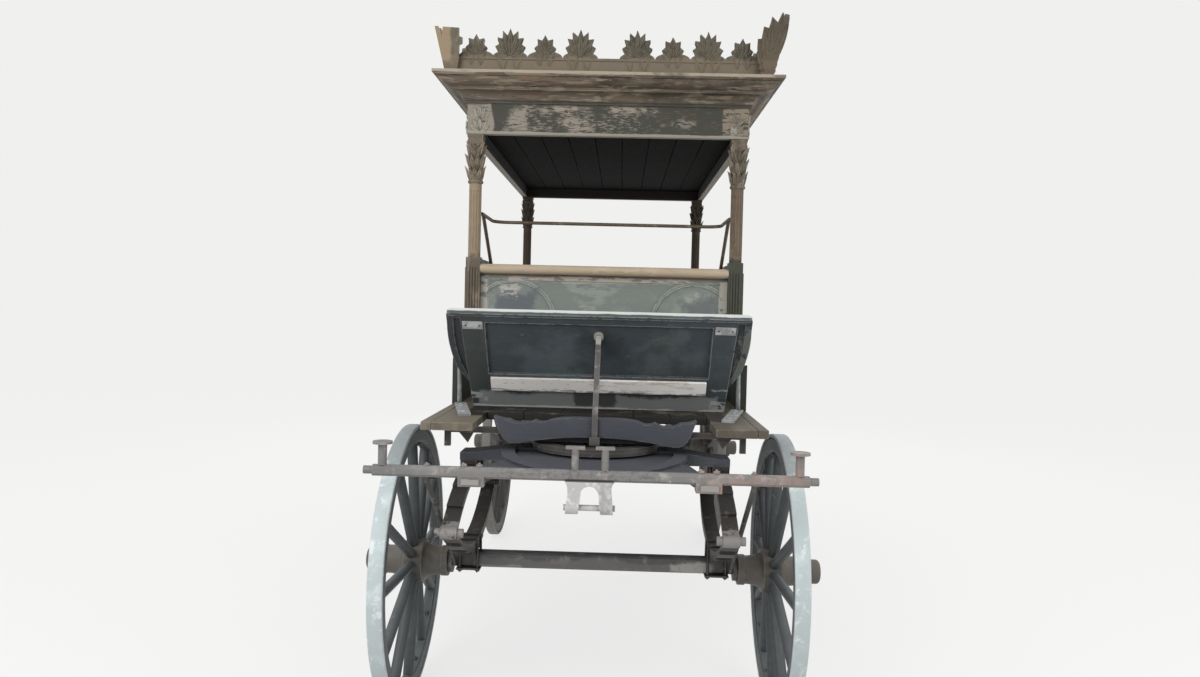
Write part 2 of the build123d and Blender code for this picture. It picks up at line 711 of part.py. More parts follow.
bracket += extrude(gusset, amount=BRACKET_THICKNESS / 2)
nodes["platform_brackets"] = both_sides(bracket - upper_bed)

# Body
spacing = (body_rear_y - body_front_y - BEARER_DEPTH) / (BEARERS - 1)
bearers = [
    block(
        (-side_inner_x, side_inner_x),
        (body_front_y + spacing * index, body_front_y + spacing * index + BEARER_DEPTH),
        (platform_z, deck_z),
    )
    for index in range(BEARERS)
]
nodes["body_bearers"] = Compound([bearer.solid() for bearer in bearers])
nodes["coffin_deck"] = block(
    (-side_inner_x, side_inner_x), (body_front_y, body_rear_y), (deck_z, deck_z + DECK_THICKNESS)
)
nodes["body_end_rail"] = block(
    (-post_inner_x, post_inner_x), (body_rear_y, body_rear_y + POST_SIZE), (platform_z, deck_z + DECK_THICKNESS)
)
sweep_y = body_front_y + SEAT_DEPTH
side_face = make_face(
    [
        Line((body_front_y, platform_z), (body_rear_y, platform_z)),
        Line((body_rear_y, platform_z), (body_rear_y, SIDE_TOP_REAR)),
        Line((body_rear_y, SIDE_TOP_REAR), (sweep_y + SIDE_SWEEP, SIDE_TOP_REAR)),
        bulged((sweep_y + SIDE_SWEEP, SIDE_TOP_REAR), (sweep_y, SIDE_TOP_FRONT), -0.16),
        Line((sweep_y, SIDE_TOP_FRONT), (body_front_y, SIDE_TOP_FRONT)),
        Line((body_front_y, SIDE_TOP_FRONT), (body_front_y, platform_z)),
    ]
)
side = extrude(Plane.YZ.offset(side_inner_x) * side_face, amount=SIDE_THICKNESS)
recess = offset(side_face, -PANEL_MARGIN)
side -= extrude(Plane.YZ.offset(side_inner_x + SIDE_THICKNESS - PANEL_DEPTH) * recess, amount=PANEL_DEPTH)
nodes["body_side_right"] = side
nodes["body_side_left"] = mirror(side, about=Plane.YZ)

footwell_back_y = FRONT_COLUMN_Y - POST_SIZE / 2
footwell_face = make_face(
    [
        Line((FOOTWELL_FRONT_Y, floor_z), (footwell_back_y, floor_z)),
        Line((footwell_back_y, floor_z), (footwell_back_y, floor_z + FOOTWELL_BACK_HEIGHT)),
        bulged(
            (footwell_back_y, floor_z + FOOTWELL_BACK_HEIGHT),
            (FOOTWELL_FRONT_Y, floor_z + FOOTWELL_FRONT_HEIGHT),
            -FOOTWELL_SWEEP,
        ),
        Line((FOOTWELL_FRONT_Y, floor_z + FOOTWELL_FRONT_HEIGHT), (FOOTWELL_FRONT_Y, floor_z)),
    ]
)
nodes["footwell_sides"] = both_sides(
    extrude(Plane.YZ.offset(PLATFORM_HALF - SIDE_THICKNESS) * footwell_face, amount=SIDE_THICKNESS)
)

# Corner posts, columns and capitals
bell_top_z = CAPITAL_BOTTOM + ASTRAGAL_HEIGHT + BELL_HEIGHT


def turned_bell():
    """A capital's astragal and flaring bell, standing on the origin."""
    foot = (SHAFT_R, ASTRAGAL_HEIGHT)
    lip = (ABACUS_HALF - 1, ASTRAGAL_HEIGHT + BELL_HEIGHT)
    section = [
        Line((0, 0), (ASTRAGAL_R, 0)),
        Line((ASTRAGAL_R, 0), (ASTRAGAL_R, ASTRAGAL_HEIGHT)),
        Line((ASTRAGAL_R, ASTRAGAL_HEIGHT), foot),
        bulged(foot, lip, -0.06),
        Line(lip, (0, lip[1])),
        Line((0, lip[1]), (0, 0)),
    ]
    return revolve(Plane.XZ * make_face(Wire(section)), axis=Axis.Z)


posts, shafts, capitals = [], [], []
for column_y, post_top in ((FRONT_COLUMN_Y, SIDE_TOP_FRONT), (REAR_COLUMN_Y, REAR_POST_TOP)):
    for side_sign in (-1, 1):
        x = side_sign * COLUMN_X
        post = Pos(x, column_y, (platform_z + post_top) / 2) * Box(POST_SIZE, POST_SIZE, post_top - platform_z)
        posts.append(post.solid())
        shaft = rod_z(x, column_y, (post_top, CAPITAL_BOTTOM), SHAFT_R)
        for index in range(FLUTES):
            angle = 2 * math.pi * index / FLUTES
            flute_x = x + (SHAFT_R + FLUTE_R / 3) * math.cos(angle)
            flute_y = column_y + (SHAFT_R + FLUTE_R / 3) * math.sin(angle)
            shaft -= rod_z(flute_x, flute_y, (post_top + FLUTE_STOP, CAPITAL_BOTTOM - FLUTE_STOP), FLUTE_R)
        shafts.append(shaft.solid())
        capital = Pos(x, column_y, CAPITAL_BOTTOM) * turned_bell()
        capital += Pos(x, column_y, (bell_top_z + FRIEZE_BOTTOM) / 2) * Box(
            2 * ABACUS_HALF, 2 * ABACUS_HALF, FRIEZE_BOTTOM - bell_top_z
        )
        capitals.append(capital.solid())
nodes["corner_posts"] = Compound(posts)
nodes["column_shafts"] = Compound(shafts)
nodes["column_capitals"] = Compound(capitals)

# Seat
seat_back_y = body_front_y + SEAT_DEPTH
seat = block((-post_inner_x, post_inner_x), (seat_panel_y, body_front_y), (seat_top_z - SEAT_THICKNESS, seat_top_z))
seat += block(
    (-side_inner_x, side_inner_x), (body_front_y, seat_back_y), (seat_top_z - SEAT_THICKNESS, seat_top_z)
)
nodes["seat_board"] = seat
rail = rod_x((-post_inner_x, post_inner_x), seat_panel_y - SEAT_RAIL_R + SEAT_RAIL_LAP, seat_top_z, SEAT_RAIL_R)
nodes["seat_front_rail"] = rail - block(
    (-post_inner_x, post_inner_x), (seat_panel_y, body_front_y), (seat_top_z - SEAT_RAIL_R, seat_top_z + SEAT_RAIL_R)
)
panel = block(
    (-post_inner_x, post_inner_x), (seat_panel_y, body_front_y), (floor_z, seat_top_z - SEAT_THICKNESS)
)
roundels = None
for side_sign in (-1, 1):
    disc = Circle(ROUNDEL_R) - Circle(ROUNDEL_R - ROUNDEL_RIM)
    disc = Pos(side_sign * ROUNDEL_X, seat_top_z - ROUNDEL_DROP - ROUNDEL_R) * disc
    roundels = disc if roundels is None else roundels + disc
relief = extrude(Plane.XZ.offset(-seat_panel_y) * roundels, amount=ROUNDEL_RELIEF)
raised = (seat_panel_y - ROUNDEL_RELIEF, seat_panel_y)
stile_x = post_inner_x - PANEL_STILE
panel_rail_z = seat_top_z - SEAT_THICKNESS - PANEL_RAIL
relief &= block((-stile_x, stile_x), raised, (floor_z, panel_rail_z))
frame_of_panel = block((-post_inner_x, post_inner_x), raised, (floor_z, seat_top_z - SEAT_THICKNESS))
frame_of_panel -= block((-stile_x, stile_x), raised, (floor_z, panel_rail_z))
nodes["seat_box_panel"] = panel + relief + frame_of_panel
rail_x = side_inner_x - 2 * BACK_RAIL_R
rail_y0 = FRONT_COLUMN_Y + SHAFT_R - BACK_RAIL_LAP
back_rail_z = seat_top_z + BACK_RAIL_RISE
rail_path = FilletPolyline(
    (rail_x, rail_y0, back_rail_z),
    (rail_x, seat_back_y - BACK_RAIL_R, back_rail_z),
    (-rail_x, seat_back_y - BACK_RAIL_R, back_rail_z),
    (-rail_x, rail_y0, back_rail_z),
    radius=BACK_RAIL_CORNER_R,
)
back_rail = sweep(Plane(origin=rail_path @ 0, z_dir=rail_path % 0) * Circle(BACK_RAIL_R), path=rail_path)
for side_sign in (-1, 1):
    back_rail += rod_between(
        (side_sign * rail_x, rail_y0 + BACK_STRUT_TOP, back_rail_z),
        (side_sign * rail_x, seat_back_y - BACK_STRUT_FOOT, seat_top_z),
        BACK_RAIL_R,
    )
nodes["seat_back_rail"] = back_rail - nodes["seat_board"] - nodes["column_shafts"]

# Toe board
rise = TOE_HEAD_Z - floor_z
lean = TOE_FOOT_Y - TOE_HEAD_Y
slope = math.hypot(rise, lean)
toe_plane = Plane(origin=(0, TOE_FOOT_Y, floor_z), x_dir=(1, 0, 0), z_dir=(0, -rise, -lean))


def on_toe_board(x, up, out):
    """A box in the toe board's own plane: across, up the slope, and out towards the horses."""
    return toe_plane * block(x, up, out)


frame_face = outline(
    [
        (-TOE_FOOT_HALF, 0),
        (TOE_FOOT_HALF, 0),
        (TOE_HEAD_HALF, slope - TOE_RAIL_HEIGHT),
        (-TOE_HEAD_HALF, slope - TOE_RAIL_HEIGHT),
    ]
)
frame = toe_plane * extrude(frame_face, amount=-TOE_THICKNESS)
window = on_toe_board((-TOE_PANEL_HALF, TOE_PANEL_HALF), (TOE_PANEL_LOW, TOE_PANEL_HIGH), (-TOE_THICKNESS - 1, 1))
frame -= window
toe_rail_face = RectangleRounded(2 * TOE_RAIL_HALF, TOE_RAIL_DEPTH, TOE_RAIL_DEPTH / 2 - 1)
toe_rail = extrude(
    Plane(
        origin=toe_plane.from_local_coords((0, slope - TOE_RAIL_HEIGHT, -TOE_THICKNESS / 2)),
        x_dir=(1, 0, 0),
        z_dir=toe_plane.y_dir,
    )
    * toe_rail_face,
    amount=TOE_RAIL_HEIGHT,
)
below_floor = block(
    (-PLATFORM_HALF, PLATFORM_HALF),
    (TOE_FOOT_Y - slope, TOE_FOOT_Y + slope),
    (platform_z, floor_z),
)
nodes["toe_board_frame"] = frame + toe_rail - below_floor
nodes["toe_board_panel"] = on_toe_board(
    (-TOE_PANEL_HALF, TOE_PANEL_HALF),
    (TOE_PANEL_LOW, TOE_PANEL_HIGH),
    (TOE_PANEL_BACK - TOE_THICKNESS, TOE_PANEL_BACK - TOE_THICKNESS + TOE_PANEL_THICKNESS),
)
nodes["toe_board_cleat"] = on_toe_board(
    (CLEAT_INSET - TOE_PANEL_HALF, TOE_PANEL_HALF - CLEAT_INSET),
    (CLEAT_LOW, CLEAT_LOW + CLEAT_HEIGHT),
    (0, CLEAT_THICKNESS),
)


def wing_face(inset):
    """Outline of the scrolled wing beside the toe board, from its stile out to a swept edge."""
    points = []
    for share, reach in WING_STEPS:
        stile_edge = TOE_FOOT_HALF + (TOE_HEAD_HALF - TOE_FOOT_HALF) * share
        points.append((stile_edge + max(reach - inset, 0), slope * share))
    top = slope - TOE_RAIL_HEIGHT - inset / 2
    edge = Spline(*points)
    corners = [points[-1], (points[-1][0], top), (TOE_HEAD_HALF, top), points[0]]
    sides = [Line(corners[index], corners[index + 1]) for index in range(3)]
    return make_face(Wire([edge, *sides]))


wing = toe_plane * Pos(0, 0, -WING_BACK) * extrude(wing_face(0), amount=WING_BACK - WING_FACE)
wing -= toe_plane * Pos(0, 0, -WING_RECESS) * extrude(wing_face(WING_RIM), amount=WING_BACK)
wing -= nodes["toe_board_frame"]
nodes["toe_board_wings"] = both_sides(wing)
strap_run = Vector(*FOOT_STRAP_BACK) - Vector(*FOOT_STRAP_FRONT)
strap_middle = (Vector(*FOOT_STRAP_BACK) + Vector(*FOOT_STRAP_FRONT)) / 2
strap_plane = Plane(origin=(strap_middle.X, strap_middle.Y, floor_z), x_dir=strap_run)
side_iron = extrude(strap_plane * Rectangle(strap_run.length, FOOT_STRAP_WIDTH), amount=FOOT_STRAP_THICKNESS)
iron_head = toe_plane.from_local_coords((TOE_HEAD_HALF + WING_RIM / 2, slope * SIDE_IRON_HEAD, -WING_BACK))
side_iron += rod_between((FOOT_STRAP_BACK[0], SIDE_IRON_Y, floor_z), iron_head, SIDE_IRON_R)
nodes["toe_board_side_irons"] = both_sides(
    side_iron - nodes["toe_board_frame"] - wing - nodes["platform_board"]
)
head_share = (STAY_HEAD_Z - floor_z) / rise
head_up = slope * head_share
panel_out = TOE_PANEL_BACK - TOE_THICKNESS + TOE_PANEL_THICKNESS
stay_head = toe_plane.from_local_coords((0, head_up, panel_out + STAY_THICKNESS / 2))
stay_foot = Vector(0, facing_y - STAY_THICKNESS / 2, facing_top_z + STAY_THICKNESS)
stay_low_z = sill_z + STAY_FOOT_GAP
stay_run = stay_foot - stay_head
stay_plane = Plane(origin=stay_head, x_dir=(1, 0, 0), z_dir=stay_run)
toe_stay = extrude(stay_plane * Rectangle(STAY_WIDTH, STAY_THICKNESS), amount=stay_run.length)
palm_place = Pos(0, head_up, panel_out + STAY_THICKNESS / 2)
toe_stay += toe_plane * palm_place * Cylinder(STAY_PALM_R, STAY_THICKNESS)
toe_stay += block(
    (-STAY_WIDTH / 2, STAY_WIDTH / 2),
    (facing_y - STAY_THICKNESS, facing_y),
    (stay_low_z, facing_top_z + 1.5 * STAY_THICKNESS),
)
toe_stay += block(
    (-STAY_FOOT_HALF, STAY_FOOT_HALF),
    (facing_y - STAY_FOOT_THICKNESS, facing_y),
    (stay_low_z, stay_low_z + STAY_FOOT_HEIGHT),
)
nodes["toe_board_stay"] = (
    toe_stay - nodes["toe_board_frame"] - nodes["toe_board_panel"] - nodes["upper_bed"] - nodes["toe_board_cleat"]
)

# Rear running gear
wheel_pieces("rear_left_wheel", -1, REAR_AXLE_Y, REAR_WHEEL_R, REAR_SPOKES)
wheel_pieces("rear_right_wheel", 1, REAR_AXLE_Y, REAR_WHEEL_R, REAR_SPOKES)
nodes["rear_axle"] = axle(REAR_AXLE_Y, rear_axle_z)
bolster_z = sill_z - BOLSTER_HEIGHT
rear_spring_height = bolster_z - rear_seat_z
nodes["rear_springs"] = both_sides(elliptic_spring(REAR_AXLE_Y, rear_seat_z, rear_spring_height))
nodes["rear_bolster"] = shaped_bed(
    LOWER_BED_HALF, SILL_X + SILL_WIDTH, bolster_z, bolster_z + BOLSTER_END_HEIGHT, sill_z, REAR_AXLE_Y, BOLSTER_DEPTH
)

# Canopy
frieze_half = COLUMN_X + FRIEZE_OVER
canopy_front = FRONT_COLUMN_Y - FRIEZE_OVER
canopy_rear = REAR_COLUMN_Y + FRIEZE_OVER
canopy_y = (canopy_front + canopy_rear) / 2
canopy_half_length = (canopy_rear - canopy_front) / 2
inner_half = frieze_half - FRIEZE_WALL
inner_half_length = canopy_half_length - FRIEZE_WALL


def moulded_slab(steps):
    """A slab whose four sides all have one moulded outline, mitred at the corners.

    steps are rows of outset from the frieze, height, and bulge of the line that leads there.
    It is what two long mouldings have in common, one across the hearse and one along it.
    """
    slabs = []
    for plane, half_size, reach in (
        (Plane.XZ, frieze_half, canopy_half_length),
        (Plane.YZ, canopy_half_length, frieze_half),
    ):
        edges = []
        for (out0, z0, _), (out1, z1, bulge) in zip(steps, steps[1:]):
            edges.append(bulged((half_size + out0, z0), (half_size + out1, z1), bulge))
            edges.append(bulged((-half_size - out1, z1), (-half_size - out0, z0), bulge))
        for out, z, _ in (steps[0], steps[-1]):
            edges.append(Line((-half_size - out, z), (half_size + out, z)))
        slab = extrude(plane * make_face(Wire(edges)), amount=reach * 2, both=True)
        slabs.append(slab)
    return Pos(0, canopy_y, 0) * (slabs[0] & slabs[1])


def ring_of(slab, bottom, top):
    """The slab with the canopy's inside cut out of it."""
    inside = block(
        (-inner_half, inner_half),
        (canopy_y - inner_half_length, canopy_y + inner_half_length),
        (bottom - 1, top + 1),
    )
    return slab - inside


nodes["canopy_frieze"] = ring_of(
    moulded_slab(
        [
            (BEAD_OUT - 2, FRIEZE_BOTTOM, 0),
            (BEAD_OUT, FRIEZE_BOTTOM + BEAD_HEIGHT / 2, 0),
            (BEAD_OUT - 2, FRIEZE_BOTTOM + BEAD_HEIGHT, 0),
            (0, FRIEZE_BOTTOM + BEAD_HEIGHT, 0),
            (0, FRIEZE_TOP, 0),
        ]
    ),
    FRIEZE_BOTTOM,
    FRIEZE_TOP,
)
nodes["canopy_cornice"] = ring_of(
    moulded_slab(
        [
            (6, FRIEZE_TOP, 0),
            (10, FRIEZE_TOP + 10, 0),
            (16, FRIEZE_TOP + 10, 0),
            (52, FRIEZE_TOP + 46, -0.18),
            (62, FRIEZE_TOP + 46, 0),
            (66, FRIEZE_TOP + 58, 0),
            (112, FRIEZE_TOP + 90, 0.14),
            (124, FRIEZE_TOP + 92, 0),
            (132, CORNICE_TOP - 12, 0),
            (132, CORNICE_TOP, 0),
        ]
    ),
    FRIEZE_TOP,
    CORNICE_TOP,
)
nodes["canopy_ceiling"] = block(
    (-inner_half, inner_half),
    (canopy_y - inner_half_length, canopy_y + inner_half_length),
    (CEILING_Z, CEILING_Z + CEILING_THICKNESS),
)
nodes["canopy_roof"] = block(
    (-inner_half, inner_half),
    (canopy_y - inner_half_length, canopy_y + inner_half_length),
    (CORNICE_TOP - ROOF_THICKNESS, CORNICE_TOP),
)


def palmette(x, base, radius, lobes):
    """A fan of pointed lobes in a flat outline, tips and valleys by turns."""
    points = []
    for index in range(2 * lobes - 1):
        angle = math.pi * (0.06 + 0.88 * index / (2 * lobes - 2))
        reach = radius * (0.86 + 0.14 * math.sin(angle)) if index % 2 == 0 else radius * 0.7
        points.append((x + reach * 0.8 * math.cos(angle), base + reach * math.sin(angle)))
    return outline([(x - radius * 0.4, base - radius * 0.4), (x + radius * 0.4, base - radius * 0.4), *points])


def cresting(half_length, large, small):
    """A band with rounded shoulders and palmettes along it, in the plane of one side."""
    face = outline(
        [(-half_length, 0), (half_length, 0), (half_length, CREST_VALLEY), (-half_length, CREST_VALLEY)]
    )
    for place in (*large, *small):
        if abs(place) + CREST_SHOULDER < half_length:
            face += Pos(place, CREST_VALLEY) * Ellipse(CREST_SHOULDER, CREST_BAND - CREST_VALLEY)
    for place in large:
        face += palmette(place, CREST_BAND, CREST_LARGE_R, 7)
    for place in small:
        face += palmette(place, CREST_BAND, CREST_SMALL_R, 5)
    return face


crest_half = frieze_half + CREST_OUTSET
crest_front_y = canopy_front - CREST_OUTSET
crest_rear_y = canopy_rear + CREST_OUTSET
front_crest = extrude(
    Plane.XZ.offset(-crest_front_y - CREST_THICKNESS) * cresting(crest_half, CREST_LARGE_X, CREST_SMALL_X),
    amount=CREST_THICKNESS,
)
nodes["cresting_front"] = Pos(0, 0, CORNICE_TOP) * front_crest
nodes["cresting_rear"] = Pos(0, 0, CORNICE_TOP) * extrude(
    Plane.XZ.offset(-crest_rear_y)
    * cresting(crest_half, (*CREST_LARGE_X[:2], 0, *CREST_LARGE_X[2:]), CREST_SMALL_X),
    amount=CREST_THICKNESS,
)
side_crest_half = (crest_rear_y - crest_front_y) / 2 - CREST_THICKNESS
count = int(side_crest_half / CREST_PITCH)
places = [CREST_PITCH * index for index in range(-count + 1, count)]
side_crest = extrude(
    Plane.YZ.offset(crest_half - CREST_THICKNESS)
    * cresting(side_crest_half, places[0::2], places[1::2]),
    amount=CREST_THICKNESS,
)
nodes["cresting_sides"] = both_sides(Pos(0, canopy_y, CORNICE_TOP) * side_crest)


def acroterion(tip, edge):
    """Corner leaf: two blades, mitred at the corner, that lean out over the cornice.

    It is built at the origin for the +X and front corner, with its blades behind the faces.
    tip is the top of the leaning corner, and edge runs from there down to the foot.
    """
    lean, height = tip
    slope = math.hypot(height, lean)
    points = [(0, 0), (lean, slope), *[(x, z * slope / height) for x, z in edge]]
    tilted = Plane(origin=(0, 0, 0), x_dir=(1, 0, 0), z_dir=(0, -height, -lean))
    blade = extrude(tilted * outline(points), amount=-CREST_THICKNESS)
    quarter = [
        (lean + CREST_THICKNESS, -lean - CREST_THICKNESS),
        (-ACROTERION_REACH, ACROTERION_REACH),
        (-ACROTERION_REACH, -lean - CREST_THICKNESS),
    ]
    blade &= extrude(outline(quarter), amount=ACROTERION_REACH)
    diagonal = Plane(origin=(0, 0, 0), z_dir=(1, 1, 0))
    return blade + mirror(blade, about=diagonal)


leaf = acroterion(LEAF_TIP, LEAF_EDGE)
stub = acroterion(STUB_TIP, STUB_EDGE)
corners = []
for shape, side_sign, end_sign in ((stub, -1, -1), (leaf, 1, -1), (leaf, -1, 1), (leaf, 1, 1)):
    piece = Pos(crest_half + CREST_THICKNESS, crest_front_y - CREST_THICKNESS - canopy_y, CORNICE_TOP) * shape
    if side_sign < 0:
        piece = mirror(piece, about=Plane.YZ)
    if end_sign > 0:
        piece = mirror(piece, about=Plane.XZ)
    corners.append((Pos(0, canopy_y, 0) * piece).solid())
nodes["corner_acroteria"] = Compound(corners)

# Tailboard, hinged along its foot on the end rail
tail_rear_y = REAR_COLUMN_Y + POST_SIZE / 2
hinge_y = tail_rear_y + HINGE_R
hinge_z = deck_z + DECK_THICKNESS + TAILBOARD_FOOT_GAP / 2
tail_half = post_inner_x - TAILBOARD_GAP
tailboard = block(
    (-tail_half, tail_half),
    (tail_rear_y - TAILBOARD_THICKNESS, tail_rear_y),
    (deck_z + DECK_THICKNESS + TAILBOARD_FOOT_GAP, TAILBOARD_TOP),
)
fixed = []
for side_sign in (-1, 1):
    x = side_sign * HINGE_X
    moving = (x - KNUCKLE / 2, x + KNUCKLE / 2)
    tailboard += rod_x(moving, hinge_y, hinge_z, HINGE_R)
    tailboard += block(moving, (tail_rear_y, tail_rear_y + HINGE_LEAF), (hinge_z, hinge_z + HINGE_STRAP))
    tailboard -= rod_x((moving[0] - 1, moving[1] + 1), hinge_y, hinge_z, HINGE_PIN_R + HINGE_PIN_CLEARANCE)
    ends = (moving[0] - KNUCKLE_GAP - KNUCKLE, moving[1] + KNUCKLE_GAP + KNUCKLE)
    clear = (moving[0] - KNUCKLE_GAP, moving[1] + KNUCKLE_GAP)
    knuckles = rod_x(ends, hinge_y, hinge_z, HINGE_R)
    knuckles += block(ends, (tail_rear_y, hinge_y), (hinge_z - HINGE_R, hinge_z))
    under_z = hinge_z - 2 * HINGE_R
    leaf_y = (tail_rear_y, tail_rear_y + HINGE_LEAF)
    knuckles -= block(clear, (tail_rear_y - 1, hinge_y + 2 * HINGE_R), (under_z, hinge_z + 2 * HINGE_R))
    knuckles += block(ends, leaf_y, (hinge_z - HINGE_STRAP, under_z))
    for leaf_x in ((ends[0], clear[0]), (clear[1], ends[1])):
        knuckles += block(leaf_x, leaf_y, (under_z, hinge_z))
    knuckles += rod_x(ends, hinge_y, hinge_z, HINGE_PIN_R)
    fixed += knuckles.solids()
nodes["tailboard"] = tailboard
nodes["tailboard_hinges"] = Compound(fixed)

# The hearse's middle goes over the origin
whole = Compound(children=[Compound(list(shape.solids())) for shape in nodes.values()]).bounding_box()
shift = -(whole.min.Y + whole.max.Y) / 2
os.makedirs("parts", exist_ok=True)
for name, shape in nodes.items():
    export_step(Pos(0, shift, 0) * Compound(list(shape.solids())), f"parts/{name}.step")
print("front axle at Y", round(shift, 3), "nodes", len(nodes))
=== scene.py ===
# %% [markdown]
# # A weathered horse-drawn hearse, dressed in Blender
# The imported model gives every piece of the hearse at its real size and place: wheels, springs,
# beds, body, seat, columns and canopy. This script gives each surface its old paint, bare wood
# or iron, and adds what a carver, a smith and a wheelwright would have added by hand.
# All lengths are metres, and +Z is up. The horses would stand towards -Y.

# %% Load the model
import math

import bmesh
import bpy
from mathutils import Matrix, Vector


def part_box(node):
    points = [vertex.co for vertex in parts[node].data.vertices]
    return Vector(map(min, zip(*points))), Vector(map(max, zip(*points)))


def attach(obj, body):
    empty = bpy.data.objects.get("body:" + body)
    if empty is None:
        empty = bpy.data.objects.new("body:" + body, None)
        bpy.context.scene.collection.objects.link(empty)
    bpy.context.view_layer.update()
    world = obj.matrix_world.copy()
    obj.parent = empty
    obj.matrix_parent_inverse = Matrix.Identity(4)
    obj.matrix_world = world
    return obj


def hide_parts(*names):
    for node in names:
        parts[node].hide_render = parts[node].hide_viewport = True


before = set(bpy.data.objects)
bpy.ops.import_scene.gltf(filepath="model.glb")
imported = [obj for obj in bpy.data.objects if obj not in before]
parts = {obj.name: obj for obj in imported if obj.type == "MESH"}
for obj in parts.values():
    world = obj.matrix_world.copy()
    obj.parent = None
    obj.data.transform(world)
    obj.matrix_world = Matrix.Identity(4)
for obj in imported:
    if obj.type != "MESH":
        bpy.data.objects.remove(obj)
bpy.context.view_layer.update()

MM = 0.001
front_axle = sum(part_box("front_axle"), Vector()) / 2
rear_axle = sum(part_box("rear_axle"), Vector()) / 2

# %% [markdown]
# ## The camera
# The picture was taken about 3.2 m in front of the front axle, 1.39 m above the floor and a
# little to the right of the middle. It looks slightly left and down, and it is held 1.4 degrees
# askew. The lens follows from the field of view: 910 pixels of distance for 1200 of width.

# %% Camera
PHOTO_WIDTH = 1200
FOCAL_PIXELS = 910
SENSOR_WIDTH = 36
CAMERA_PLACE = Vector((0.08, front_axle.y - 3.2, 1.39))
TURN_LEFT, LOOK_DOWN, ASKEW = (math.radians(degrees) for degrees in (1.3, 1.9, 1.4))

lens = bpy.data.cameras.new("camera")
lens.sensor_width = SENSOR_WIDTH
lens.lens = FOCAL_PIXELS / PHOTO_WIDTH * SENSOR_WIDTH
camera = bpy.data.objects.new("camera", lens)
bpy.context.scene.collection.objects.link(camera)
facing = Matrix.Rotation(TURN_LEFT, 4, "Z") @ Matrix.Rotation(math.pi / 2 - LOOK_DOWN, 4, "X")
camera.matrix_world = Matrix.Translation(CAMERA_PLACE) @ facing @ Matrix.Rotation(ASKEW, 4, "Z")
bpy.context.scene.camera = camera
print("lens", round(lens.lens, 1), "mm")

# %% [markdown]
# ## Colours and nodes
# Paint and wood colours are given as hex values, which are sRGB. Blender's sockets take
# linear light, so one function converts them. A second one adds a node with its settings and
# its links, so that a material or a Geometry Nodes tree reads from top to bottom like a recipe.


# %% Helpers for colours and nodes
def colour(hex_value):
    """A hex colour as linear red, green, blue and alpha."""
    channels = [int(hex_value[i : i + 2], 16) / 255 for i in (0, 2, 4)]
    linear = [c / 12.92 if c <= 0.04045 else ((c + 0.055) / 1.055) ** 2.4 for c in channels]
    return (*linear, 1)


def node(tree, kind, sockets=None, **settings):
    """A new node. sockets gives its inputs: a value, an output, or a node for its first output."""
    new = tree.nodes.new(kind)
    for name, value in settings.items():
        setattr(new, name, value)
    for key, value in (sockets or {}).items():
        if isinstance(value, bpy.types.Node):
            value = value.outputs[0]
        if isinstance(value, bpy.types.NodeSocket):
            tree.links.new(value, new.inputs[key])
        else:
            new.inputs[key].default_value = value
    return new


print("brown of the cornice", [round(c, 3) for c in colour("6A5F52")])

# %% [markdown]
# ## Masks
# What the eye reads as age is a stack of thin layers, and each layer has a mask: a number from
# 0 to 1 that says where it shows. Five masks serve every finish here. Patches come from noise,
# put through a soft threshold. Corners come from the Bevel node, which rounds the normal over a
# few millimetres: where that differs from the flat face's own normal, an edge is near. Crevices
# come from the Ambient Occlusion node, and soot and painted shade are laid there. A worn place
# is a box on the hearse with a ragged border, for what happened in one spot: boots on the toe
# board, rain on one side of the frieze. The same boxes also lay painted light and shade in one
# spot. The fifth is the way that a face looks, for dust that lies on top.

# %% Masks
SOFT = {"interpolation_type": "SMOOTHSTEP"}
NOISE_TOP, NOISE_RANGE = 0.72, 0.44  # noise lies between 0.28 and 0.72
STILL_FLAT = 0.985
WANDER, BORDER_START, BORDER_END = 7, 2.9, 4.1  # in borders, and noise lies about 0.5


def over(tree, mask, below, above, strength=1.0, blend="MIX"):
    """One colour laid over another where a mask says so."""
    share = node(tree, "ShaderNodeMath", {0: mask, 1: strength}, operation="MULTIPLY", use_clamp=True)
    layers = {0: share, 6: below, 7: above}
    return node(tree, "ShaderNodeMix", layers, data_type="RGBA", blend_type=blend).outputs[2]


def patches_of(tree, place, size_mm, share, soft=0.04):
    """Islands about size_mm across that cover about that share of the surface."""
    grit = {"Scale": 1 / (size_mm * MM), "Detail": 6.0, "Roughness": 0.62, "Distortion": 0.3}
    noise = node(tree, "ShaderNodeTexNoise", {"Vector": place, **grit})
    low = NOISE_TOP - NOISE_RANGE * share
    return node(tree, "ShaderNodeMapRange", {0: noise, 1: low, 2: low + soft}, **SOFT)


def corners_of(tree, radius_mm, soft=0.14):
    """Edges and corners, within a few millimetres."""
    rounded = node(tree, "ShaderNodeBevel", {"Radius": radius_mm * MM}, samples=4)
    flat = node(tree, "ShaderNodeNewGeometry").outputs["Normal"]
    agree = node(tree, "ShaderNodeVectorMath", {0: rounded, 1: flat}, operation="DOT_PRODUCT")
    fade = {0: agree.outputs["Value"], 1: 1 - soft, 2: STILL_FLAT, 3: 1.0, 4: 0.0}
    return node(tree, "ShaderNodeMapRange", fade, **SOFT)


def crevices_of(tree, reach):
    """Hollows and inner corners, where soot stays and shade is painted in."""
    open_sky = node(tree, "ShaderNodeAmbientOcclusion", {"Distance": reach}, samples=4).outputs["AO"]
    return node(tree, "ShaderNodeMapRange", {0: open_sky, 1: 0.35, 2: 0.85, 3: 1.0, 4: 0.0})


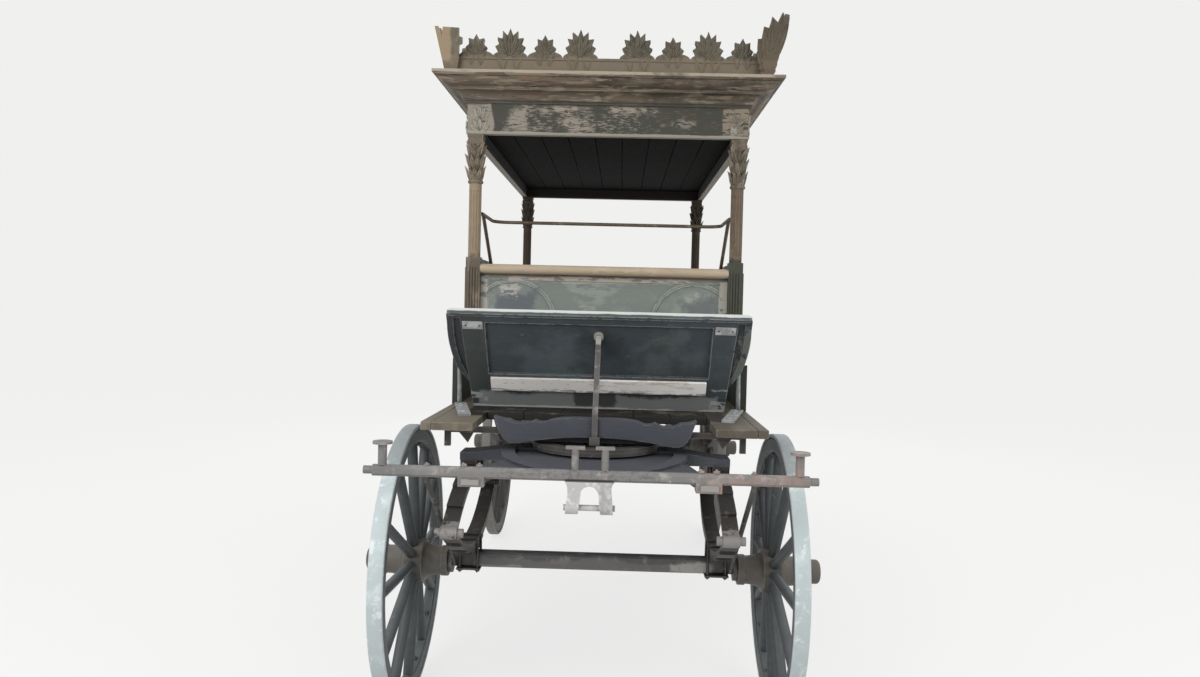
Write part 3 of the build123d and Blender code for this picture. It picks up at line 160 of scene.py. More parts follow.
def spot_of_wear_or_painted_light(tree, place, noise, box, border_mm):
    """The inside of a box of three ranges in metres, whose border wanders by about that much."""
    half = [(high - low) / 2 for low, high in box]
    centre = [(low + high) / 2 for low, high in box]
    local = node(tree, "ShaderNodeVectorMath", {0: place, 1: centre}, operation="SUBTRACT")
    away = node(tree, "ShaderNodeVectorMath", {0: local}, operation="ABSOLUTE")
    outside = node(tree, "ShaderNodeVectorMath", {0: away, 1: half}, operation="SUBTRACT")
    axes = node(tree, "ShaderNodeSeparateXYZ", {0: outside})
    widest = node(tree, "ShaderNodeMath", {0: axes, 1: axes.outputs[1]}, operation="MAXIMUM")
    widest = node(tree, "ShaderNodeMath", {0: widest, 1: axes.outputs[2]}, operation="MAXIMUM")
    border = border_mm * MM
    ragged = {0: noise, 1: WANDER * border, 2: widest}
    torn = node(tree, "ShaderNodeMath", ragged, operation="MULTIPLY_ADD")
    fade = {0: torn, 1: BORDER_START * border, 2: BORDER_END * border, 3: 1.0, 4: 0.0}
    return node(tree, "ShaderNodeMapRange", fade, **SOFT)


def with_wear_and_painted_light(tree, final, place, noise, places, flakes_at, soft):
    """A colour with its worn places and its spots of painted light and shade laid over it, each one whole or
    in flakes.
    """
    for tint, strength, border_mm, across, along, up, *flakes in places:
        mask = spot_of_wear_or_painted_light(tree, place, noise, (across, along, up), border_mm)
        for size_mm, share in flakes:
            torn = patches_of(tree, flakes_at, size_mm, share, soft)
            mask = node(tree, "ShaderNodeMath", {0: mask, 1: torn}, operation="MULTIPLY")
        final = over(tree, mask, final, colour(tint), strength)
    return final


def new_material(name):
    """A material with an empty tree."""
    material = bpy.data.materials.new(name)
    material.use_nodes = True
    material.node_tree.nodes.clear()
    return material


print("noise counts from", round(NOISE_TOP - NOISE_RANGE, 2), "to", NOISE_TOP)

# %% [markdown]
# ## Old paint on timber
# Oil paint over oak or pine, put on by brush a hundred years ago. It has darkened unevenly, lost
# its gloss, and flaked off in islands that follow the grain. Bare wood shows in them, corners
# are rubbed pale, crevices hold soot and painted shade, and faces that look up hold dust. The
# recipe goes in that order, from the wood up. Grain is noise stretched along the fibres, about
# 5 mm across them.

# %% Old paint
# Near-black colours: soot and painted shade for crevices in paint and iron, and painted shade for the
# canopy's inner faces.
SOOT_AND_SHADE, CANOPY_INNER_SHADE, IRON_SOOT_AND_SHADE = colour("1A1816"), colour("1B1715"), colour("1C1A18")
COAT_PATCH_MM, CHEWED_MM = 180, 28
RELIEF_DEPTH = 1.5 * MM


def old_paint(
    name, coat, faded, bare, flaked=0.3, flake_mm=60, rubbed="A89D8E", rub=0.5, dust="8A8378",
    dusty=0.5, gloss=0.62, grain=(40, 4, 4), soot_and_shade=0.6, streaked=0.5, stretch=0.4, shine=0.5,
    places=(), inside=None,
):
    """Painted timber. flaked, rub, dusty and the crevice darkening, which is soot and painted shade, run from
    0 to 1. grain is its size in mm on each axis.

    places are rows of colour, strength, border in mm, and the ranges on X, Y and Z. Where the colour
    shows only in flakes, their size and share follow. inside is the middle of a hollow box, such as
    the canopy, whose inner faces get painted shade, near black.
    """
    material = new_material(name)
    tree = material.node_tree
    place = node(tree, "ShaderNodeTexCoord").outputs["Object"]
    fine = {"Vector": place, "Scale": [1 / (size * MM) for size in grain]}
    along = node(tree, "ShaderNodeMapping", fine)
    thread = {"Vector": along, "Scale": 1.0, "Detail": 4.0, "Roughness": 0.65}
    fibres = node(tree, "ShaderNodeTexNoise", thread)
    cloudy = {"Vector": place, "Scale": 7.0, "Detail": 6.0, "Roughness": 0.65}
    drift = node(tree, "ShaderNodeTexNoise", cloudy)
    coat_patches = patches_of(tree, place, COAT_PATCH_MM, 0.5, soft=0.2)
    painted = over(tree, coat_patches, colour(coat), colour(faded))
    painted = over(tree, fibres, painted, fibres.outputs[1], streaked, "SOFT_LIGHT")
    long_way = [(min(grain) / size) ** stretch for size in grain]
    stretched = node(tree, "ShaderNodeMapping", {"Vector": place, "Scale": long_way})
    lost = patches_of(tree, stretched, flake_mm, flaked)
    wood_tone = over(tree, fibres, colour(bare), colour(faded), 0.7)
    final = over(tree, lost, painted, wood_tone, min(1.0, 0.55 + flaked))
    edge = corners_of(tree, 6)
    chewed = patches_of(tree, place, CHEWED_MM, 0.35 + 0.5 * rub, soft=0.12)
    chewed = node(tree, "ShaderNodeMath", {0: edge, 1: chewed}, operation="MULTIPLY")
    final = over(tree, chewed, final, colour(rubbed), rub + 0.25)
    # Crevices darkened towards near black: soot and painted shade.
    final = over(tree, crevices_of(tree, 0.07), final, SOOT_AND_SHADE, soot_and_shade)
    flat = node(tree, "ShaderNodeNewGeometry").outputs["Normal"]
    up = node(tree, "ShaderNodeSeparateXYZ", {0: flat}).outputs[2]
    settled = node(tree, "ShaderNodeMapRange", {0: up, 1: 0.35, 2: 0.95, 4: dusty})
    settled = node(tree, "ShaderNodeMath", {0: settled, 1: drift}, operation="MULTIPLY")
    final = over(tree, settled, final, colour(dust), 1.8)
    final = with_wear_and_painted_light(tree, final, place, drift, places, stretched, 0.05)
    # Painted shade: faces that look into the hollow box are made near black.
    if inside:
        outward = node(tree, "ShaderNodeVectorMath", {0: place, 1: inside}, operation="SUBTRACT")
        level = node(tree, "ShaderNodeVectorMath", {0: outward, 1: (1, 1, 0)}, operation="MULTIPLY")
        turned_in = node(tree, "ShaderNodeVectorMath", {0: level, 1: flat}, operation="DOT_PRODUCT")
        shade_inside = node(tree, "ShaderNodeMapRange", {0: turned_in.outputs["Value"], 1: 0.0, 2: -0.2})
        final = over(tree, shade_inside, final, CANOPY_INNER_SHADE, 0.95)
    dull = {0: fibres, 3: gloss - 0.12, 4: min(1.0, gloss + 0.16)}
    uneven = node(tree, "ShaderNodeMapRange", dull)
    height = node(tree, "ShaderNodeMath", {0: lost, 1: -0.7, 2: fibres}, operation="MULTIPLY_ADD")
    bump = node(tree, "ShaderNodeBump", {"Height": height, "Distance": RELIEF_DEPTH, "Strength": 0.3})
    skin = {"Base Color": final, "Roughness": uneven, "Normal": bump, "IOR": 1.45}
    surface = node(tree, "ShaderNodeBsdfPrincipled", {**skin, "Specular IOR Level": shine})
    node(tree, "ShaderNodeOutputMaterial", {0: surface})
    return material


print("soot_and_shade", [round(c, 4) for c in SOOT_AND_SHADE])

# %% [markdown]
# ## Forged and rolled iron
# The tyres, springs and fittings are wrought iron that was once painted. It has a dull, slightly
# hammered skin, with soot and painted shade in the hollows, pale scuffs where it rubs, and brown
# rust in spots. Most of it is matt, so its metallic share is well below that of clean steel.

# %% Old iron
IRON_PATCH_MM, SCUFF_MM = 110, 42
PIT_DEPTH = 1 * MM


def old_iron(
    name, skin, dark, scuff, rust="5A4436", scuffed=0.5, rusty=0.2, metal=0.35, gloss=0.5, pit_mm=9,
    soot_and_shade=0.7, places=(),
):
    """Forged iron with the remains of its paint. scuffed and rusty give how much of it is so."""
    material = new_material(name)
    tree = material.node_tree
    place = node(tree, "ShaderNodeTexCoord").outputs["Object"]
    cloudy = {"Vector": place, "Scale": 11.0, "Detail": 6.0, "Roughness": 0.65}
    drift = node(tree, "ShaderNodeTexNoise", cloudy)
    hammered = {"Vector": place, "Scale": 1 / (pit_mm * MM), "Detail": 4.0, "Roughness": 0.6}
    pits = node(tree, "ShaderNodeTexNoise", hammered)
    skin_patches = patches_of(tree, place, IRON_PATCH_MM, 0.5, soft=0.25)
    final = over(tree, skin_patches, colour(dark), colour(skin))
    final = over(tree, patches_of(tree, place, SCUFF_MM, scuffed, soft=0.12), final, colour(scuff), 0.7)
    spots = patches_of(tree, place, 2.2 * pit_mm, rusty, soft=0.1)
    final = over(tree, spots, final, colour(rust), rusty + 0.35)
    final = over(tree, corners_of(tree, 4, soft=0.2), final, colour(scuff), 0.6)
    # Crevices darkened towards near black: soot and painted shade.
    final = over(tree, crevices_of(tree, 0.05), final, IRON_SOOT_AND_SHADE, soot_and_shade)
    final = with_wear_and_painted_light(tree, final, place, drift, places, place, 0.1)
    uneven = node(tree, "ShaderNodeMapRange", {0: pits, 3: gloss - 0.1, 4: gloss + 0.25})
    bump = node(tree, "ShaderNodeBump", {"Height": pits, "Distance": PIT_DEPTH, "Strength": 0.3})
    look = {"Base Color": final, "Metallic": metal, "Roughness": uneven, "Normal": bump}
    surface = node(tree, "ShaderNodeBsdfPrincipled", look)
    node(tree, "ShaderNodeOutputMaterial", {0: surface})
    return material


print("iron has pits", PIT_DEPTH / MM, "mm deep")

# %% [markdown]
# ## The finishes of this hearse
# Each one starts from what the surface is and adds its own worn places and spots of painted
# light and shade, whose ranges are read from the imported pieces where they follow a piece, and
# measured in metres where they don't.

# %% Finishes of the canopy and columns
frieze_low, frieze_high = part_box("canopy_frieze")
canopy_middle = tuple((frieze_low + frieze_high) / 2)
cornice_foot, cornice_top = (corner.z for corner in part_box("canopy_cornice"))
FAR = 3.0
ALL = (-FAR, FAR)
FRONT, FORE_HALF, REAR_HALF = (-FAR, -0.5), (-FAR, 0), (0.3, FAR)
REAR_COLUMNS = ("34271A", 0.92, 20, ALL, (1.2, FAR), (0.9, 2.2))
finishes = {}
finishes["cornice"] = old_paint(
    "flaked_umber_paint_on_oak_mouldings", "6A5F52", "4A4037", "A39784", flaked=0.45, flake_mm=13,
    rub=0.6, dust="A4998A", grain=(200, 200, 5), streaked=0.9, stretch=0.62,
    places=(
        ("A89C8B", 0.85, 3, ALL, ALL, (cornice_top - 0.013, cornice_top + 0.02)),
        ("3B3A32", 0.75, 5, ALL, ALL, (cornice_foot - 0.01, cornice_foot + 0.016)),
        ("3E382F", 0.6, 60, (0.15, FAR), FRONT, (cornice_foot, cornice_top - 0.016), (16, 0.7)),
        ("8E6F5C", 0.5, 60, (-0.5, 0.0), FRONT, (cornice_foot + 0.03, cornice_top - 0.02), (14, 0.4)),
        ("2F2A24", 0.6, 60, ALL, ALL, (cornice_foot, cornice_top - 0.016), (9, 0.3)),
    ),
)
finishes["cresting"] = old_paint(
    "grimed_carved_oak_leaves_with_painted_shade", "605A4B", "4C4C42", "7A6F5F", flaked=0.4, flake_mm=45, rub=0.7,
    rubbed="827968", dusty=0.4, dust="84796A", grain=(12, 12, 40), soot_and_shade=0.85,
    places=(
        ("7C705F", 0.7, 10, ALL, ALL, (cornice_top - 0.01, cornice_top + 0.07)),
        ("9A866C", 0.85, 14, (-FAR, -0.66), (-FAR, -0.4), (cornice_top + 0.03, FAR)),
        ("4A3A2C", 0.7, 12, (-FAR, -0.66), (-FAR, -0.4), (cornice_top - 0.01, cornice_top + 0.03), (30, 0.5)),
        ("564839", 0.5, 14, (0.62, FAR), (-FAR, -0.4), (cornice_top + 0.01, FAR)),
    ),
)
# The frieze's inner faces get painted shade, near black, through inside.
finishes["frieze"] = old_paint(
    "flaked_green_black_paint", "3B3C33", "45443C", "837D71", flaked=0.14, flake_mm=14,
    rubbed="8A857A", grain=(200, 200, 6), inside=canopy_middle, dust="6F6A5E", stretch=0.42,
    places=(
        ("9A9084", 0.95, 34, (-0.36, 0.22), FRONT, (2.23, 2.26), (8, 0.62)),
        ("918A7F", 0.9, 30, (-0.42, -0.36), FRONT, (2.17, 2.23), (9, 0.68)),
        ("958C80", 0.85, 30, (-0.22, -0.08), FRONT, (2.16, 2.20), (8, 0.63)),
        ("8F867A", 0.75, 60, (-0.4, 0.15), FRONT, (2.15, 2.25), (6, 0.46)),
        ("857F74", 0.8, 24, (0.24, 0.38), FRONT, (2.18, 2.20), (10, 0.55)),
        ("968F83", 0.85, 8, (-FAR, -0.497), FRONT, (2.14, 2.272), (16, 0.85)),
        ("918473", 0.8, 8, (0.5, FAR), FRONT, (2.14, 2.272), (14, 0.66)),
        ("6E5744", 0.6, 20, (0.2, 0.55), FRONT, (2.15, 2.26), (9, 0.35)),
        ("33332B", 0.6, 5, ALL, FRONT, (frieze_high.z - 0.006, 2.3)),
        ("A09B8F", 0.8, 3, ALL, ALL, (frieze_low.z - 0.01, frieze_low.z + 0.012)),
    ),
)
finishes["carving"] = old_paint(
    "chalky_carved_leaves", "9E998C", "8A8579", "B0A99B", flaked=0.4, flake_mm=25, rub=0.8,
    rubbed="C6C0B3", soot_and_shade=0.8, grain=(14, 14, 14),
    places=(("6E685B", 0.7, 10, (0.4, FAR), ALL, (2.1, 2.3), (30, 0.6)),),
)
# Painted shade: the ceiling boards are made near black.
finishes["ceiling"] = old_paint(
    "shade_darkened_ceiling_boards", "0D0A09", "120F0D", "191512", flaked=0.1, rub=0.0, dusty=0.0,
    dust="3A332C", grain=(6, 120, 6), gloss=0.8, shine=0.08,
)
finishes["roof"] = old_paint(
    "rain_greyed_roof_boards", "5A5349", "6B6459", "7A7265", flaked=0.5, rub=0.4, dusty=0.8,
    grain=(120, 6, 6),
)
finishes["column"] = old_paint(
    "worn_brown_paint_on_turned_wood", "7B6C59", "64574A", "94866F", flaked=0.4, flake_mm=32,
    rub=0.6, rubbed="A99C86", grain=(7, 7, 90), streaked=0.7,
    places=(
        # The first two rows are painted light and shade: the left columns paler and the right ones darker, as
        # if lit from the left.
        ("9F8E75", 0.6, 20, (-FAR, -0.4), FORE_HALF, (1.6, 2.2), (60, 0.75)),
        ("544638", 0.55, 20, (0.4, FAR), FORE_HALF, (1.6, 2.2), (60, 0.8)),
        REAR_COLUMNS,
        ("353B31", 0.9, 12, (0.5, FAR), FORE_HALF, (0.9, 1.61)),
        ("47443D", 0.65, 12, (-FAR, -0.5), FORE_HALF, (0.9, 1.61), (40, 0.6)),
    ),
)
finishes["capital"] = old_paint(
    "sooty_carved_capitals_with_painted_shade", "6E6355", "5C5143", "867962", flaked=0.35, flake_mm=20, rub=0.8,
    rubbed="A89C88", grain=(7, 7, 40), soot_and_shade=0.9, streaked=0.6,
    # The first row is painted shade: the right capitals darker, as on the right columns.
    places=(("39352C", 0.5, 10, (0.4, FAR), FORE_HALF, (1.9, 2.2), (30, 0.6)), REAR_COLUMNS),
)
print("canopy finishes", len(finishes))

# %% Finishes of the body and footboards
finishes["body"] = old_paint(
    "old_black_carriage_paint", "2A2C2F", "383A40", "5A5343", flaked=0.15, flake_mm=50, rub=0.6,
    rubbed="77736A", dust="625E54", gloss=0.45, grain=(8, 120, 6),
)
finishes["footwell"] = old_paint(
    "green_black_side_paint", "262A21", "30332A", "4A4536", flaked=0.2, flake_mm=40,
    rubbed="5F5C50", dusty=0.4, gloss=0.5, grain=(8, 100, 6),
)
finishes["boards"] = old_paint(
    "dusty_footboards", "6C6456", "5A5449", "807767", flaked=0.5, flake_mm=45, rub=0.8,
    rubbed="A79D8B", dusty=0.7, dust="6C6457", grain=(6, 100, 6),
    places=(
        # Painted shade: the middle of the footboard under the toe board is near black.
        ("100E0C", 0.97, 12, (-0.47, 0.47), (-1.3, -0.52), (0.9, 1.01)),
        ("453F38", 0.6, 15, (0.4, FAR), ALL, (0.9, 1.01)),
    ),
)
finishes["deck"] = old_paint(
    "dry_coffin_deck_boards", "4E483F", "5A5449", "6E6555", flaked=0.4, dusty=0.8, dust="746B5D",
    grain=(6, 120, 6),
)
finishes["beds"] = old_paint(
    "grey_purple_undercarriage_paint", "42454D", "4C4F57", "63615F", flaked=0.12, flake_mm=40,
    rub=0.6, rubbed="75777E", dust="5C5D62", gloss=0.5, grain=(90, 7, 7),
    places=(("A39E99", 0.8, 6, ALL, (-FAR, -1.80), (0.8, 0.884)),),
)
print("finishes so far", len(finishes))

# %% Finishes of the toe board and seat
toe_foot_z, toe_top_z = (corner.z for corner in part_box("toe_board_frame"))
seat_back_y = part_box("seat_box_panel")[1].y
finishes["slate"] = old_paint(
    "slate_blue_carriage_paint", "454C50", "565E61", "7B7C77", flaked=0.12, flake_mm=26, rub=0.9,
    rubbed="A9ADAA", dusty=0.2, dust="6B6E6C", gloss=0.5, grain=(110, 7, 7), streaked=0.6, soot_and_shade=0.5,
    places=(
        ("D2D5D1", 0.95, 2, ALL, ALL, (toe_top_z - 0.009, toe_top_z + 0.02)),
        ("8D918F", 0.8, 12, (-0.45, 0.45), ALL, (toe_foot_z - 0.01, toe_foot_z + 0.058)),
        ("C2BFBB", 0.9, 3, (-0.48, 0.48), ALL, (toe_foot_z - 0.01, toe_foot_z + 0.007), (60, 0.8)),
        ("2A2C2D", 0.8, 12, (-0.09, 0.06), ALL, (toe_foot_z + 0.008, toe_foot_z + 0.06)),
        ("B4B6B5", 0.7, 8, (-0.5, -0.43), ALL, (toe_foot_z, toe_foot_z + 0.06), (30, 0.5)),
        ("B4B6B5", 0.7, 8, (0.43, 0.5), ALL, (toe_foot_z, toe_foot_z + 0.09), (30, 0.5)),
        ("5F6B6E", 0.45, 60, (-0.26, -0.1), ALL, (1.16, 1.22)),
        ("666D6C", 0.45, 60, (0.16, 0.3), ALL, (1.24, 1.3)),
        ("2B2E31", 0.5, 50, (-0.06, 0.08), ALL, (1.2, 1.32)),
        ("3E413C", 0.6, 8, (-0.52, -0.42), ALL, (toe_foot_z + 0.07, toe_top_z - 0.02)),
    ),
)
finishes["wing"] = old_paint(
    "scuffed_green_grey_paint", "3A3D43", "474C48", "6A6B63", flaked=0.2, flake_mm=30, rub=0.8,
    rubbed="868C83", dusty=0.2, gloss=0.5, grain=(9, 9, 50),
    # Painted light: the right wing is lighter, in flakes, where light falls on it.
    places=(("7C8279", 0.55, 10, (0.5, FAR), ALL, (1.1, 1.32), (40, 0.7)),),
)
finishes["seat_panel"] = old_paint(
    "faded_grey_green_paint", "7E8680", "8F978E", "A6A59A", flaked=0.15, flake_mm=45, rub=0.9,
    rubbed="CBCAC0", dusty=0.3, grain=(80, 7, 7), streaked=0.4, soot_and_shade=0.5,
    places=(
        ("5B6069", 0.8, 35, (-0.50, -0.30), ALL, (1.2, 1.46)),
        ("63676C", 0.78, 35, (0.32, 0.50), ALL, (1.2, 1.46)),
        ("C4C0B6", 0.75, 30, (-0.46, -0.36), ALL, (1.43, 1.49), (13, 0.52)),
        ("BDBAB0", 0.7, 30, (0.34, 0.42), ALL, (1.40, 1.47), (13, 0.47)),
        ("9CA8A2", 0.5, 40, (-0.14, 0.12), ALL, (1.42, 1.5), (30, 0.6)),
        # Painted shadow: a brown band just under the seat's front rail.
        ("7D7468", 0.8, 5, (-0.5, 0.5), ALL, (1.513, 1.54)),
        ("B3AB9F", 0.85, 6, (-0.42, 0.4), ALL, (1.5, 1.522), (22, 0.66)),
        ("C6C1B5", 0.7, 6, (-0.55, -0.505), ALL, (1.2, 1.52), (40, 0.7)),
        ("C6C1B5", 0.7, 6, (0.505, 0.55), ALL, (1.2, 1.52), (40, 0.7)),
        ("34362F", 0.95, 1, ALL, (seat_back_y - 3 * MM, FAR), (0, FAR)),
    ),
)
finishes["bare_rail"] = old_paint(
    "hand_worn_ash", "B5A48D", "C8B8A0", "97866E", flake_mm=26, rubbed="D9CFBB", dusty=0.2,
    dust="BBAF98", grain=(110, 5, 5), soot_and_shade=0.4,
)
finishes["strip"] = old_paint(
    "foot_worn_pine_strip", "ECE8E3", "DEDAD4", "5C5955", flaked=0.2, flake_mm=9, rub=0.6,
    rubbed="E6DFD4", dusty=0.1, grain=(150, 4, 4), stretch=0.45, soot_and_shade=0.25,
    places=(
        ("FAF8F5", 0.85, 30, (0.05, FAR), ALL, (1.04, FAR)),
        ("C9B8A6", 0.6, 25, (-0.02, 0.36), ALL, (1.074, FAR), (16, 0.5)),
        ("8D8A86", 0.5, 25, (-0.36, 0.1), ALL, (1.07, FAR), (10, 0.28)),
        ("4A4846", 0.75, 6, ALL, ALL, (1.06, 1.074), (11, 0.6)),
    ),
)
print("finishes so far", len(finishes))

# %% Finishes of the iron and the wheels
axle_y = front_axle.y
AXLE_FACE = (axle_y - 0.05, axle_y - 0.015)
finishes["bar"] = old_iron(
    "pink_grey_bar_iron", "8F8D8C", "7C7A78", "ABA6A1", scuffed=0.4, metal=0.15, rust="7A6660", soot_and_shade=0.4,
    places=(
        ("9D857C", 0.6, 90, (0.34, 0.62), ALL, (0.8, 0.95), (30, 0.72)),
        ("6C6E6D", 0.5, 70, (-FAR, -0.5), ALL, (0.7, 0.95)),
        ("5C5B5B", 0.55, 60, (-0.3, 0.25), ALL, (0.7, 0.95), (16, 0.5)),
    ),
)
finishes["bright"] = old_iron(
    "rubbed_bright_iron", "D0CFCE", "B9B8B8", "E6E5E4", scuffed=0.4, rusty=0.08, metal=0.15,
    gloss=0.45, soot_and_shade=0.35, places=(("8E8B8B", 0.5, 6, (0.02, 0.2), ALL, (0.7, 0.9), (20, 0.6)),),
)
finishes["iron"] = old_iron("dull_forged_iron", "5E5C5A", "474441", "85827E", scuffed=0.35, rusty=0.3)
finishes["stay"] = old_iron(
    "stay_iron", "6B6967", "5A5856", "918E8A", scuffed=0.4, metal=0.2,
    places=(("B3AFA9", 0.85, 8, (-0.1, 0.1), ALL, (1.26, 1.32)),),
)
finishes["rail_iron"] = old_iron(
    "brown_rail_iron", "75695A", "5F5548", "93876F", scuffed=0.4, rusty=0.3, metal=0.2
)
finishes["plate"] = old_iron("scuffed_steel_plate", "B4B7B7", "9A9D9E", "CFD1D0", rusty=0.12, metal=0.15)
finishes["springs"] = old_iron(
    "dark_spring_iron", "4A4745", "3A3735", "706D6A", scuffed=0.35, rusty=0.35, metal=0.25,
    places=(("94918E", 0.8, 6, ALL, (axle_y - 0.46, axle_y - 0.39), (0.6, 0.8), (30, 0.8)),),
)
finishes["axle"] = old_iron(
    "grey_axle_paint", "636262", "525151", "82807D", scuffed=0.4, rusty=0.15, metal=0.1,
    places=(
        # The two paler rows after this one are painted highlights on the axle's front face: along its top on
        # the right, partly rubbed wear, and low on the left.
        ("6A6969", 0.75, 8, (-0.42, 0.42), AXLE_FACE, (0.462, 0.5)),
        ("A5A29F", 0.85, 10, (0.27, 0.41), AXLE_FACE, (0.468, 0.5), (40, 0.85)),
        ("8E8C8A", 0.75, 8, (-0.41, -0.25), AXLE_FACE, (0.462, 0.476)),
    ),
)
finishes["tyre"] = old_iron(
    "pale_road_worn_tyre", "CDD8DA", "B7C2C4", "E2E8E8", scuffed=0.45, rusty=0.1, metal=0.1,
    rust="8C9290", pit_mm=14, soot_and_shade=0.3,
    places=(
        # Painted shade: the tops of the front tyres darker under the footboard, and the rear tyres dark under
        # the body.
        ("858B8E", 0.75, 30, ALL, FRONT, (0.86, 1.0)),
        ("5F5850", 0.8, 30, ALL, REAR_HALF, (-0.1, 1.2)),
    ),
)
finishes["wheel"] = old_paint(
    "dusty_grey_wheel_paint", "43484A", "505557", "6A6E6D", flaked=0.2, flake_mm=35, rub=0.8,
    rubbed="8C9190", dusty=0.6, dust="75797A", gloss=0.55, grain=(16, 16, 16),
    # Painted shade: the rear wheels darker under the body.
    places=(("453F38", 0.6, 30, ALL, REAR_HALF, (-0.1, 1.2)),),
)
finishes["nave"] = old_paint(
    "turned_nave_paint", "5C5955", "484541", "6F5D4B", flaked=0.35, flake_mm=30, rub=0.8,
    rubbed="8E8C87", dusty=0.6, dust="77726A", gloss=0.5, grain=(40, 9, 9),
)
print("finishes", len(finishes))

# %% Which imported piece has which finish
WHEELS = [f"{end}_{side}_wheel" for end in ("front", "rear") for side in ("left", "right")]
dressed = {
    "cornice": ["canopy_cornice"],
    "cresting": ["cresting_front", "cresting_sides", "cresting_rear", "corner_acroteria"],
    "frieze": ["canopy_frieze"],
    "ceiling": ["canopy_ceiling"],
    "roof": ["canopy_roof"],
    "column": ["column_shafts", "corner_posts"],
    "capital": ["column_capitals"],
    "body": [
        "body_side_left", "body_side_right", "tailboard", "body_bearers", "body_sills",
        "body_end_rail", "rear_bolster",
    ],
    "footwell": ["footwell_sides"],
    "slate": ["toe_board_frame", "toe_board_panel"],
    "wing": ["toe_board_wings"],
    "seat_panel": ["seat_box_panel"],
    "bare_rail": ["seat_front_rail", "seat_board"],
    "strip": ["toe_board_cleat"],
    "boards": ["platform_board"],
    "deck": ["coffin_deck"],
    "beds": ["upper_bed", "lower_bed", "futchells"],
    "bar": ["splinter_bar", "trace_bolts"],
    "bright": ["pole_clevis", "pole_pin"],
    "plate": ["toe_board_side_irons"],
    "iron": [
        "platform_brackets", "upper_turntable_ring", "lower_turntable_ring", "king_pin",
        "tailboard_hinges", "fore_stays",
    ],
    "stay": ["toe_board_stay"],
    "rail_iron": ["seat_back_rail"],
    "springs": ["front_springs", "rear_springs"],
    "axle": ["front_axle", "rear_axle"],
    "tyre": [f"{wheel}_tyre" for wheel in WHEELS],
    "wheel": [f"{wheel}_spokes_and_felloe" for wheel in WHEELS],
    "nave": [f"{wheel}_nave" for wheel in WHEELS],
}
for finish, names in dressed.items():
    for name in names:
        for material_slot in parts[name].material_slots:
            material_slot.link = "DATA"
            material_slot.material = finishes[finish]
print("dressed", sum(len(names) for names in dressed.values()), "of", len(parts))

# %% [markdown]
# ## Three rules for what repeats
# A hearse is made of a few shapes, each set out many times. One Geometry Nodes tree sets a form
# on marked places, each with its own turn and size: leaves, nuts, rivets, boards. A second tree
# runs a round bar or bead along lines, and a third, further down, builds a wheel. The first mesh
# is only points or lines, so a place can be changed without remodelling. At the end the result
# becomes a plain mesh on its body.

# %% Plain meshes and the rule that makes them
WELD = 0.01 * MM
SHARP_EDGE = math.radians(35)
CANOPY = ("carriage", "weathered_canopy_paint")
DARK_BOARDS = ("carriage", "dark_boards")
CARRIAGE_IRON, FORE_IRON = ("carriage", "old_iron"), ("fore_carriage", "old_iron")


def mesh_of(name, vertices, edges=(), faces=(), weld=0.0):
    """A mesh whose faces all point outwards. Bare lines are joined where they meet only if weld is given."""
    mesh = bpy.data.meshes.new(name)
    mesh.from_pydata([tuple(v) for v in vertices], list(edges), list(faces))
    if faces or weld:
        work = bmesh.new()
        work.from_mesh(mesh)
        bmesh.ops.remove_doubles(work, verts=work.verts, dist=weld or WELD)
        bmesh.ops.recalc_face_normals(work, faces=work.faces)
        work.to_mesh(mesh)
        work.free()
    return mesh


def in_scene(name, mesh):
    """A new object in the scene, at the origin."""
    thing = bpy.data.objects.new(name, mesh)
    bpy.context.scene.collection.objects.link(thing)
    return thing


def add_piece(name, mesh, home, finish=None, stands_for=()):
    """A piece on the body named in home; the slot named there is not used. Round faces are smooth, and edges
    over 35 degrees sharp.
    """
    if finish:
        mesh.materials.clear()
        mesh.materials.append(finishes[finish])
    mesh.shade_smooth()
    mesh.set_sharp_from_angle(angle=SHARP_EDGE)
    mesh.name = name
    piece = in_scene(name, mesh)
    body, slot = home
    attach(piece, body)
    if stands_for:
        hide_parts(*stands_for)
    print(name, len(mesh.polygons), "faces on", body)
    return piece


def made_by(tree, start, **given):
    """The plain mesh that a tree makes from a starting mesh. Its inputs are given by name."""
    trial = in_scene("trial", start)
    modifier = trial.modifiers.new("rule", "NODES")
    modifier.node_group = tree
    for item in tree.interface.items_tree:
        if item.item_type == "SOCKET" and item.in_out == "INPUT" and item.name in given:
            modifier[item.identifier] = given[item.name]
    graph = bpy.context.evaluated_depsgraph_get()
    plain = bpy.data.meshes.new_from_object(trial.evaluated_get(graph), depsgraph=graph)
    bpy.data.objects.remove(trial)
    return plain


def new_tree(name, inputs):
    """An empty tree with named inputs, and the sockets that bring them in."""
    tree = bpy.data.node_groups.new(name, "GeometryNodeTree")
    for label, kind in inputs.items():
        tree.interface.new_socket(label, in_out="INPUT", socket_type=f"NodeSocket{kind}")
    tree.interface.new_socket("Result", in_out="OUTPUT", socket_type="NodeSocketGeometry")
    return tree, node(tree, "NodeGroupInput").outputs


def close_tree(tree, geometry, finish):
    """Makes the copies real, gives them their finish and ends the tree."""
    real = node(tree, "GeometryNodeRealizeInstances", {0: geometry})
    finished = node(tree, "GeometryNodeSetMaterial", {"Geometry": real, "Material": finish})
    node(tree, "NodeGroupOutput", {0: finished})


print("edges over", round(math.degrees(SHARP_EDGE)), "degrees stay sharp")

